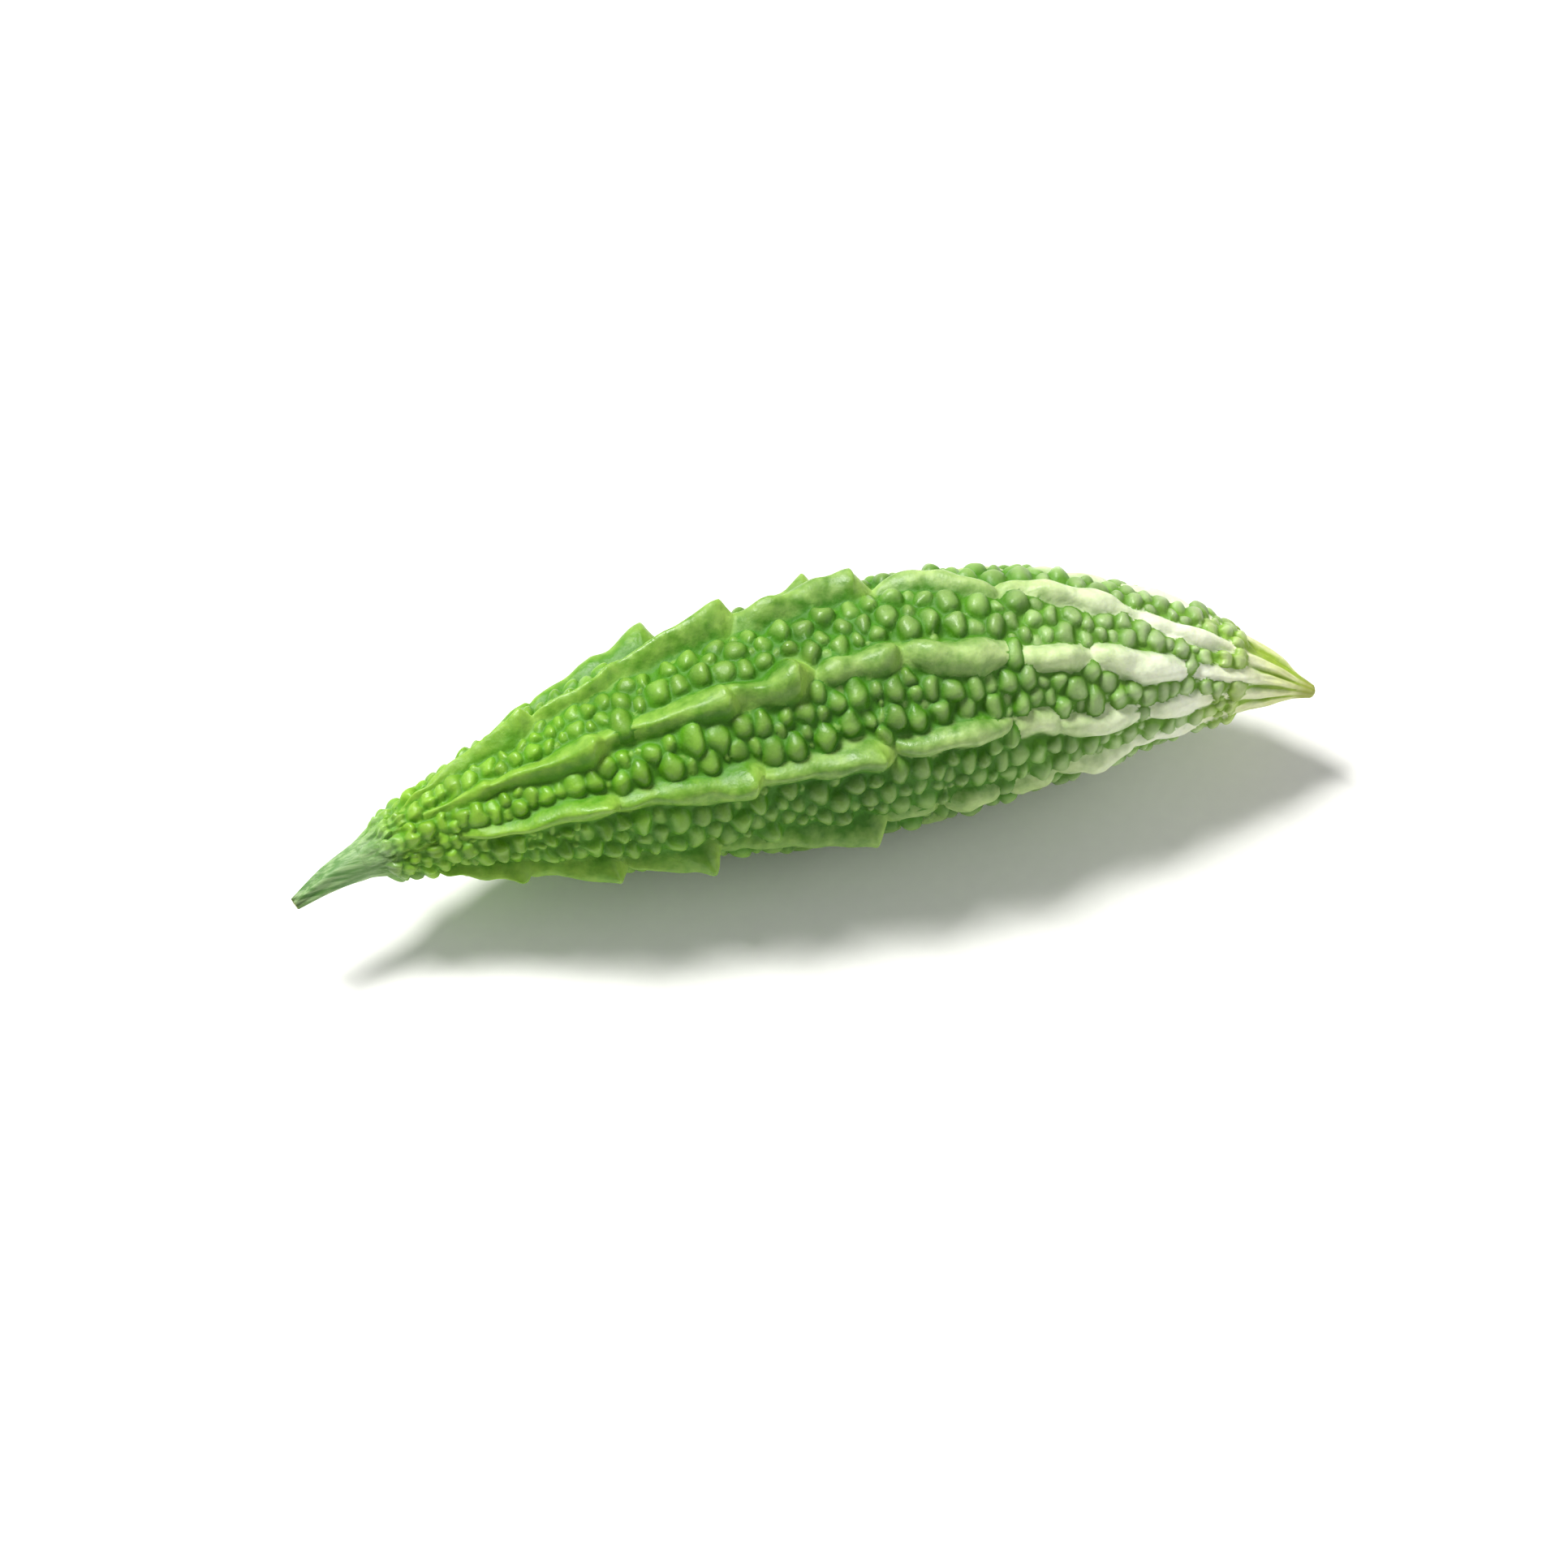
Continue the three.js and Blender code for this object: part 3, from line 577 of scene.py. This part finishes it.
def carve_skin(stations, bearings):
    """Height of the skin over the grid, and by name the shades by which its material tells places."""
    lobes = np.clip(ripples(LOBE_SEED, LOBE_PERIOD, stations, bearings), -1, 1)
    uneven = lerp(*LOBE_SHARES, smooth(stations, BLADES_END, BEANS_BEGIN))[:, None]
    bite = uneven * LOBE_BITE * (1 + lobes) / 2
    sway = uneven * SWAY * ripples(SWAY_SEED, SWAY_PERIOD, stations, bearings)
    height, crest = ridge_relief(stations[:, None], bearings[None, :], bite, sway)
    # Steep falls at the teeth, where light is painted on their faces.
    falling = -np.gradient(height, stations, axis=0)
    face = smooth(falling, *FACE_SLOPE) * (1 - smooth(stations, *FACES_END))[:, None]
    knob = np.zeros_like(height)
    tint = np.full_like(height, MIDDLE_TINT)
    raise_warts(stations, bearings, height, knob, tint)
    crest[knob > 0] = 0
    face[knob > 0] = 0

    around = surroundings(height)
    # How deep each point lies under its surroundings: there shade is painted into the furrows, and the
    # wax is duller.
    hollow = around - height
    height = np.maximum(height, FILL * around)
    height += SWELL * (ripples(SWELL_SEED, SWELL_PERIOD, stations, bearings) - 1)
    fade = smooth(stations, 0, SMOOTH_NECK) * (1 - smooth(stations, *SMOOTH_NUB))
    shades = {"crest": crest, "knob": knob, "tint": tint, "hollow": hollow, "face": surroundings(face)}
    return height * fade[:, None], shades


def make_fruit():
    """The fruit's skin, from the joint to the small dome that closes the nub."""
    stations = np.linspace(0, FRUIT_LENGTH, STATIONS)
    bearings = np.arange(BEARINGS) * 360 / BEARINGS
    height, shades = carve_skin(stations, bearings)
    dome = FRUIT_LENGTH + NUB_ROUNDING * np.sin(NUB_RINGS)
    sink = SPINDLE[-1][RADIUS] * np.cos(NUB_RINGS) - radius_at(dome)
    stations = np.append(stations, dome)
    height = np.vstack([height, np.repeat(sink[:, None], BEARINGS, axis=1)])
    points = place(stations[:, None], bearings[None, :], height)
    ends = np.array([0, FRUIT_LENGTH + NUB_ROUNDING])
    poles = place(ends, np.zeros(2), -radius_at(ends))

    for name, field in shades.items():
        over_dome = np.pad(field, [(0, len(dome)), (0, 0)], "edge")
        shades[name] = np.append(over_dome, [0, 0])
    shades["station"] = np.append(np.repeat(stations, BEARINGS), ends)
    first_pole = len(stations) * BEARINGS
    faces = tube_faces(len(stations), BEARINGS, first_pole, first_pole + 1)
    fruit = mesh_object("fruit_skin", np.vstack([points.reshape(-1, 3), poles]), faces, shades)
    thin_out(fruit, SKIN_TRIANGLES)
    keep_in_box(fruit)
    return fruit


def make_stalk():
    """The cut stub, from inside the fruit's neck to a cut face that has dried a little hollow."""
    bearings = np.arange(STALK_SIDES) * 360 / STALK_SIDES
    stations = np.linspace(STALK_ROOT, -STALK_LENGTH, STALK_RINGS)
    ribs = STALK_RIB_HEIGHT * np.cos(STALK_RIBS * np.radians(bearings))
    fading = 1 - smooth(stations, *RIBS_FADE)
    tuck = STALK_SLEEVE - STALK_TUCK * smooth(stations, 0, STALK_ROOT)
    height = ribs[None, :] * fading[:, None] + tuck[:, None]
    cut_radius = radius_at(-STALK_LENGTH)
    cut_stations = -STALK_LENGTH + CUT_SINK * (1 - CUT_RIMS**2)
    cut_height = CUT_RIMS[:, None] * (cut_radius + ribs[None, :]) - radius_at(cut_stations)[:, None]
    stations = np.append(stations, cut_stations)
    height = np.vstack([height, cut_height])
    points = place(stations[:, None], bearings[None, :], height)
    ends = np.array([STALK_ROOT, -STALK_LENGTH + CUT_SINK])
    poles = place(ends, np.zeros(2), -radius_at(ends))

    # The rings run the other way than the fruit's, so each face is turned round to look outward.
    first_pole = len(stations) * STALK_SIDES
    faces = [face[::-1] for face in tube_faces(len(stations), STALK_SIDES, first_pole, first_pole + 1)]
    on_cut = np.repeat(np.arange(len(stations)) >= STALK_RINGS, STALK_SIDES)
    shades = {
        "station": np.append(np.repeat(stations, STALK_SIDES), ends),
        "cut": np.append(on_cut, [False, True]),
    }
    stalk = mesh_object("stalk_stub", np.vstack([points.reshape(-1, 3), poles]), faces, shades)
    keep_in_box(stalk)
    return stalk


# ---------------------------------------------------------------- colours and patterns

# Sizes of the patterns, and depths of those that are felt, in millimetres.
PATCH = 7.5  # patches of skin that ripen a little sooner or later
MOTTLE = 2.4  # blotches of bleached and of greener skin
SPECKLE = 1.1  # flecks of wax
DIMPLE = 1.9
PORE = 0.4
STRAND = 0.8
STRAND_STRETCH = 8  # length of a strand over its width
PAPER_FIBRE = 2.5
DIMPLE_DEPTH = 0.35
PORE_DEPTH = 0.04
STRAND_DEPTH = 0.25

# How many finer layers the patterns have, how crisp those are, and how strongly the relief shows.
SKIN_DETAIL = 3
STRAND_DETAIL, STRAND_CRISPNESS = 4, 0.6
PAPER_DETAIL = 2
DIMPLE_STRENGTH = 0.7
PORE_STRENGTH = 0.5
STRAND_STRENGTH = 0.7

# Colours along the fruit, from the joint to the nub.
STALK_END, NECK, SHOULDER, BELLY, LOIN, BLOSSOM, NUB = (
    station / FRUIT_LENGTH for station in (1, 9, 38, 84, 116, 150, 166)
)
NECK_WART = "6f9656"
STREAK = "a9c58e"
# Skin green along the fruit in the furrows, darker and deeper as painted shade in the hollows between
# warts and ridges.
SHADED_FURROW = [
    (STALK_END, "628a48"), (NECK, "56900a"), (SHOULDER, "498604"), (BELLY, "3a7800"),
    (LOIN, "437c0a"), (BLOSSOM, "6b9b30"), (NUB, "8eaf34"),
]
WART = [
    (STALK_END, NECK_WART), (NECK, "6fa21a"), (SHOULDER, "528e08"), (BELLY, "3c7202"),
    (LOIN, "4b8410"), (BLOSSOM, "78a340"), (NUB, "a6bf44"),
]
# Pale colours of bleached crests, also used for the sheen painted on the tops of the warts.
PALE_CREST_AND_SHEEN = [
    (STALK_END, "86aa6d"), (NECK, "a5c850"), (SHOULDER, "a3c94e"), (BELLY, "b0d172"),
    (LOIN, "c4d994"), (BLOSSOM, "ecf1da"), (NUB, "dfe5a6"),
]
# Lime painted on the faces of the teeth, as the light that they catch.
LIT_TOOTH_FACE = "a9ce58"
NUB_TIP = "98a03c"

# Colours of the stalk from its cut to its root, of the pith in the cut, and of the paper.
STALK_GREENS = [(0, "48632b"), (0.15, "4f7a38"), (0.6, "5c8748"), (1, NECK_WART)]
PITH = [(0.3, "8d8f52"), (0.7, "bfc48c")]
PAPER = [(0, "f3f3f1"), (1, "f8f8f6")]

# How the markings lie: ranges in which one thing turns into another, and the most that it does.
PATCH_SHIFT = 24  # millimetres along the fruit by which ripening patches move its colours
SHADE_DEPTHS = (0.6, -0.5)  # millimetres under the surroundings: from the deeper green painted as shade in the furrows to wart green
# Range of the knob over which a pale sheen is painted on a wart's top, and the most of it.
WART_SHEEN_SPAN, MOST_WART_SHEEN = (0.4, 1.0), 0.36
BLOSSOMING, BLOSSOM_BLEACH = (98, 172), 0.55
MOTTLED, WORN, MOST_BLEACH = 0.7, (0.98, 1.68), 0.95
# Share of the painted light on the faces of the teeth.
FACE_LIGHT = 0.7
STREAKED, MOST_STREAK, STREAKS_END = (0.4, 0.65), 0.55, (9, 1)
DRY_TIP, MOST_DRY = (167.5, 170.5), 0.8
OWN_TINT = (0.85, 1.13)
WAXY, WAX_TINT = (0.25, 0.75), (0.93, 1.07)

# Gloss, and the light that comes back out of the flesh.
RUBBED, SATIN = (0.3, 0.7), (0.28, 0.4)  # roughness of the waxy skin over its blotches
DULL_HOLLOW, DULLNESS = (-0.9, 0.5), (-0.04, 0.3)  # millimetres deep, and how much rougher it is there
STALK_ROUGHNESS = (0.4, 0.6)
PAPER_ROUGHNESS = 0.9
SKIN_SHINE, STALK_SHINE = 0.4, 0.32
SKIN_GLOW, SKIN_GLOW_DEPTH = 0.25, 1.1  # share of the light, and millimetres
STALK_GLOW, STALK_GLOW_DEPTH = 0.15, 1
FLESH_GLOW = (0.8, 1, 0.25)  # how far red, green and blue light travel in the flesh, as shares


# ---------------------------------------------------------------- materials

SMOOTHLY = {"interpolation_type": "SMOOTHSTEP"}
IN_COLOUR = {"data_type": "RGBA"}
SHARE, FIRST, SECOND, MIXED = 0, 6, 7, 2  # sockets of a mix node that mixes colours


def colour(code):
    """An sRGB hex code as a linear colour, by the curve that defines sRGB."""
    parts = [int(code[i : i + 2], 16) / 255 for i in (0, 2, 4)]
    linear = [part / 12.92 if part <= 0.04045 else ((part + 0.055) / 1.055) ** 2.4 for part in parts]
    return (*linear, 1)


def add(tree, kind, sockets=(), stops=(), **settings):
    """Adds a node with its settings, the stops of its ramp, and values or links for its sockets."""
    new = tree.nodes.new(kind)
    for name, value in settings.items():
        setattr(new, name, value)
    for number, (position, code) in enumerate(stops):
        if number > 1:
            new.color_ramp.elements.new(position)
        element = new.color_ramp.elements[number]
        element.position = position
        element.color = colour(code)
    for key, value in sockets.items() if isinstance(sockets, dict) else enumerate(sockets):
        if isinstance(value, bpy.types.NodeSocket):
            tree.links.new(value, new.inputs[key])
        else:
            new.inputs[key].default_value = value
    return new


def new_material(name):
    material = bpy.data.materials.new(name)
    material.use_nodes = True
    tree = material.node_tree
    tree.nodes.clear()
    return material, tree


def strands_along(tree, spot):
    """Fine fibres that run along the fruit, from 0 to 1."""
    shrink = (1 / STRAND_STRETCH, 1, 1)
    stretched = add(tree, "ShaderNodeVectorMath", [spot, shrink], operation="MULTIPLY").outputs[0]
    fibre = {
        "Vector": stretched, "Scale": 1 / (STRAND * MM),
        "Detail": STRAND_DETAIL, "Roughness": STRAND_CRISPNESS,
    }
    return add(tree, "ShaderNodeTexNoise", fibre).outputs["Fac"]


def ripe_colour(tree, shades, zone):
    """Deeper green painted as shade in the furrows, the warts' green on them, and a pale sheen painted
    where a wart is highest.
    """
    furrow, wart, pale = (
        add(tree, "ShaderNodeValToRGB", [zone], stops).outputs[0] for stops in (SHADED_FURROW, WART, PALE_CREST_AND_SHEEN)
    )
    out_of_shade = add(tree, "ShaderNodeMapRange", [shades["hollow"], *SHADE_DEPTHS], **SMOOTHLY).outputs[0]
    greens = {SHARE: out_of_shade, FIRST: furrow, SECOND: wart}
    body = add(tree, "ShaderNodeMix", greens, **IN_COLOUR).outputs[MIXED]
    # A pale sheen is painted on the tops of the warts.
    top = add(tree, "ShaderNodeMapRange", [shades["knob"], *WART_SHEEN_SPAN, 0, MOST_WART_SHEEN]).outputs[0]
    sheened = {SHARE: top, FIRST: body, SECOND: pale}
    return add(tree, "ShaderNodeMix", sheened, **IN_COLOUR).outputs[MIXED], pale


def bleached_colour(tree, shades, along_fruit, mottle, ripe, pale):
    """Crests are bleached in blotches, most near the blossom, and light is painted on the faces of the
    teeth in lime.
    """
    blossom = [along_fruit, *BLOSSOMING, 0, BLOSSOM_BLEACH]
    blossoming = add(tree, "ShaderNodeMapRange", blossom, **SMOOTHLY).outputs[0]
    blotched = add(tree, "ShaderNodeMath", [mottle, MOTTLED, shades["crest"]], operation="MULTIPLY_ADD")
    worn = add(tree, "ShaderNodeMath", [blotched.outputs[0], blossoming], operation="ADD").outputs[0]
    bleach = add(tree, "ShaderNodeMapRange", [worn, *WORN, 0, MOST_BLEACH]).outputs[0]
    paled = {SHARE: bleach, FIRST: ripe, SECOND: pale}
    bleached = add(tree, "ShaderNodeMix", paled, **IN_COLOUR).outputs[MIXED]
    # Painted light: the faces of the teeth turn lime.
    lit_share = add(tree, "ShaderNodeMath", [shades["face"], FACE_LIGHT], operation="MULTIPLY").outputs[0]
    lime = {SHARE: lit_share, FIRST: bleached, SECOND: colour(LIT_TOOTH_FACE)}
    return add(tree, "ShaderNodeMix", lime, **IN_COLOUR).outputs[MIXED]


def ended_colour(tree, spot, station, base):
    """Near the stalk the fruit is still streaked like it, and the nub ends in a dry tip."""
    streak = [strands_along(tree, spot), *STREAKED, 0, MOST_STREAK]
    streaks = add(tree, "ShaderNodeMapRange", streak, **SMOOTHLY).outputs[0]
    near_stalk = add(tree, "ShaderNodeMapRange", [station, *STREAKS_END], **SMOOTHLY).outputs[0]
    share = add(tree, "ShaderNodeMath", [streaks, near_stalk], operation="MULTIPLY").outputs[0]
    streaked = {SHARE: share, FIRST: base, SECOND: colour(STREAK)}
    streaky = add(tree, "ShaderNodeMix", streaked, **IN_COLOUR).outputs[MIXED]
    dry = add(tree, "ShaderNodeMapRange", [station, *DRY_TIP, 0, MOST_DRY], **SMOOTHLY).outputs[0]
    tipped = {SHARE: dry, FIRST: streaky, SECOND: colour(NUB_TIP)}
    return add(tree, "ShaderNodeMix", tipped, **IN_COLOUR).outputs[MIXED]


def skin_colour(tree, spot, shades, noise):
    """The colours along the fruit, moved about by ripening patches, under each wart's tint and wax."""
    shift = [noise["patch"], PATCH_SHIFT, shades["station"]]
    along_fruit = add(tree, "ShaderNodeMath", shift, operation="MULTIPLY_ADD").outputs[0]
    ends = (PATCH_SHIFT / 2, FRUIT_LENGTH + PATCH_SHIFT / 2)
    zone = add(tree, "ShaderNodeMapRange", [along_fruit, *ends]).outputs[0]
    ripe, pale = ripe_colour(tree, shades, zone)
    bleached = bleached_colour(tree, shades, along_fruit, noise["mottle"], ripe, pale)
    ended = ended_colour(tree, spot, shades["station"], bleached)
    own = add(tree, "ShaderNodeMapRange", [shades["tint"], 0, 1, *OWN_TINT]).outputs[0]
    wax = add(tree, "ShaderNodeMapRange", [noise["speckle"], *WAXY, *WAX_TINT]).outputs[0]
    light = add(tree, "ShaderNodeMath", [own, wax], operation="MULTIPLY").outputs[0]
    return add(tree, "ShaderNodeHueSaturation", {"Color": ended, "Value": light}).outputs[0]


def skin_roughness(tree, hollow, mottle):
    """Rubbed tops shine softly, and the wax stays dull in the furrows."""
    satin = add(tree, "ShaderNodeMapRange", [mottle, *RUBBED, *SATIN]).outputs[0]
    dull = add(tree, "ShaderNodeMapRange", [hollow, *DULL_HOLLOW, *DULLNESS]).outputs[0]
    return add(tree, "ShaderNodeMath", [satin, dull], operation="ADD").outputs[0]


def skin_dimples(tree, noise):
    """Shallow dimples, with finer pores over them."""
    pores = {"Height": noise["pore"], "Distance": PORE_DEPTH * MM, "Strength": PORE_STRENGTH}
    dimples = {
        "Height": noise["dimple"], "Distance": DIMPLE_DEPTH * MM, "Strength": DIMPLE_STRENGTH,
        "Normal": add(tree, "ShaderNodeBump", pores).outputs[0],
    }
    return add(tree, "ShaderNodeBump", dimples).outputs[0]


def skin_material():
    """Waxy plant skin with a satin sheen over tiny dimples, lit from within by the wet flesh below."""
    material, tree = new_material("waxy_gourd_skin")
    shades = {
        name: add(tree, "ShaderNodeAttribute", attribute_name=name).outputs["Fac"]
        for name in ("station", "crest", "knob", "tint", "hollow", "face")
    }
    spot = add(tree, "ShaderNodeTexCoord").outputs["Object"]
    sizes = {"patch": PATCH, "mottle": MOTTLE, "speckle": SPECKLE, "dimple": DIMPLE, "pore": PORE}
    noise = {}
    for name, size in sizes.items():
        pattern = {"Vector": spot, "Scale": 1 / (size * MM), "Detail": SKIN_DETAIL}
        noise[name] = add(tree, "ShaderNodeTexNoise", pattern).outputs["Fac"]
    shader = add(tree, "ShaderNodeBsdfPrincipled", {
        "Base Color": skin_colour(tree, spot, shades, noise),
        "Roughness": skin_roughness(tree, shades["hollow"], noise["mottle"]),
        "Normal": skin_dimples(tree, noise),
        "Subsurface Weight": SKIN_GLOW,
        "Subsurface Radius": FLESH_GLOW,
        "Subsurface Scale": SKIN_GLOW_DEPTH * MM,
        "Specular IOR Level": SKIN_SHINE,
    })
    add(tree, "ShaderNodeOutputMaterial", {"Surface": shader.outputs[0]})
    return material


def stalk_material():
    """Fibrous stalk: fine pale streaks along it, darker towards the cut, whose face is dry pith."""
    material, tree = new_material("fibrous_stalk")
    station, cut = (
        add(tree, "ShaderNodeAttribute", attribute_name=name).outputs["Fac"]
        for name in ("station", "cut")
    )
    spot = add(tree, "ShaderNodeTexCoord").outputs["Object"]
    strands = strands_along(tree, spot)
    zone = add(tree, "ShaderNodeMapRange", [station, -STALK_LENGTH, STALK_ROOT]).outputs[0]
    green = add(tree, "ShaderNodeValToRGB", [zone], STALK_GREENS).outputs[0]
    streak = [strands, *STREAKED, 0, MOST_STREAK]
    streaks = add(tree, "ShaderNodeMapRange", streak, **SMOOTHLY).outputs[0]
    streaked = {SHARE: streaks, FIRST: green, SECOND: colour(STREAK)}
    streaky = add(tree, "ShaderNodeMix", streaked, **IN_COLOUR).outputs[MIXED]
    fleck = {"Vector": spot, "Scale": 1 / (SPECKLE * MM), "Detail": SKIN_DETAIL}
    cells = add(tree, "ShaderNodeTexNoise", fleck).outputs["Fac"]
    pith = add(tree, "ShaderNodeValToRGB", [cells], PITH).outputs[0]
    ended = {SHARE: cut, FIRST: streaky, SECOND: pith}
    ridged = {"Height": strands, "Distance": STRAND_DEPTH * MM, "Strength": STRAND_STRENGTH}
    shader = add(tree, "ShaderNodeBsdfPrincipled", {
        "Base Color": add(tree, "ShaderNodeMix", ended, **IN_COLOUR).outputs[MIXED],
        "Roughness": add(tree, "ShaderNodeMapRange", [cells, 0, 1, *STALK_ROUGHNESS]).outputs[0],
        "Normal": add(tree, "ShaderNodeBump", ridged).outputs[0],
        "Subsurface Weight": STALK_GLOW,
        "Subsurface Radius": FLESH_GLOW,
        "Subsurface Scale": STALK_GLOW_DEPTH * MM,
        "Specular IOR Level": STALK_SHINE,
    })
    add(tree, "ShaderNodeOutputMaterial", {"Surface": shader.outputs[0]})
    return material


def floor_material():
    """Matt white studio paper, with the faintest fibre in it."""
    material, tree = new_material("white_studio_paper")
    spot = add(tree, "ShaderNodeTexCoord").outputs["Object"]
    fibre = {"Vector": spot, "Scale": 1 / (PAPER_FIBRE * MM), "Detail": PAPER_DETAIL}
    grain = add(tree, "ShaderNodeTexNoise", fibre).outputs["Fac"]
    paper = add(tree, "ShaderNodeValToRGB", [grain], PAPER).outputs[0]
    matt = {"Base Color": paper, "Roughness": PAPER_ROUGHNESS}
    shader = add(tree, "ShaderNodeBsdfPrincipled", matt)
    add(tree, "ShaderNodeOutputMaterial", {"Surface": shader.outputs[0]})
    return material


# ---------------------------------------------------------------- studio

FLOOR_HALF = 2.5  # metres
WORLD_LIGHT = 0.31

# Soft square lights: place in metres, side in metres, watts and tone.
LIGHTS = {
    "key_window": ((-0.35, 0.45, 1.0), 0.35, 19.5, (1, 0.99, 0.96)),
    "fill_card": ((0.8, -0.6, 0.7), 0.9, 3, (1, 1, 0.97)),
}


def make_floor():
    corners = FLOOR_HALF * np.array([(-1, -1, 0), (1, -1, 0), (1, 1, 0), (-1, 1, 0)])
    floor = mesh_object("studio_floor", corners, [(0, 1, 2, 3)])
    floor.data.materials.append(floor_material())
    return floor


def set_up_light():
    scene = bpy.context.scene
    scene.view_settings.view_transform = "Standard"
    world = bpy.data.worlds.new("white_room")
    world.use_nodes = True
    background = world.node_tree.nodes["Background"]
    background.inputs["Color"].default_value = (1, 1, 1, 1)
    background.inputs["Strength"].default_value = WORLD_LIGHT
    scene.world = world
    for name, (position, side, watts, tone) in LIGHTS.items():
        lamp = bpy.data.lights.new(name, "AREA")
        lamp.size = side
        lamp.energy = watts
        lamp.color = tone
        light = bpy.data.objects.new(name, lamp)
        light.location = position
        light.rotation_euler = (-Vector(position)).to_track_quat("-Z", "Y").to_euler()
        scene.collection.objects.link(light)


def set_up_camera():
    camera = bpy.data.cameras.new("camera")
    camera.sensor_width = SENSOR_WIDTH
    camera.lens = SENSOR_WIDTH * CAMERA_DISTANCE / VIEW_WIDTH
    aim = Vector((AIM[0], AIM[1] + AXIS_BACK, AIM[2] + AXIS_HEIGHT)) * MM
    ahead = Vector((
        sin(CAMERA_TURN) * cos(CAMERA_DROP), cos(CAMERA_TURN) * cos(CAMERA_DROP), -sin(CAMERA_DROP),
    ))
    viewer = bpy.data.objects.new("camera", camera)
    viewer.location = aim - ahead * CAMERA_DISTANCE * MM
    viewer.rotation_euler = ahead.to_track_quat("-Z", "Y").to_euler()
    bpy.context.scene.collection.objects.link(viewer)
    bpy.context.scene.camera = viewer


# ---------------------------------------------------------------- the scene

fruit = make_fruit()
fruit.data.materials.append(skin_material())
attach(fruit, "root")
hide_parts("fruit")

stalk = make_stalk()
stalk.data.materials.append(stalk_material())
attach(stalk, "root")
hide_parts("stem")

make_floor()
set_up_light()
set_up_camera()
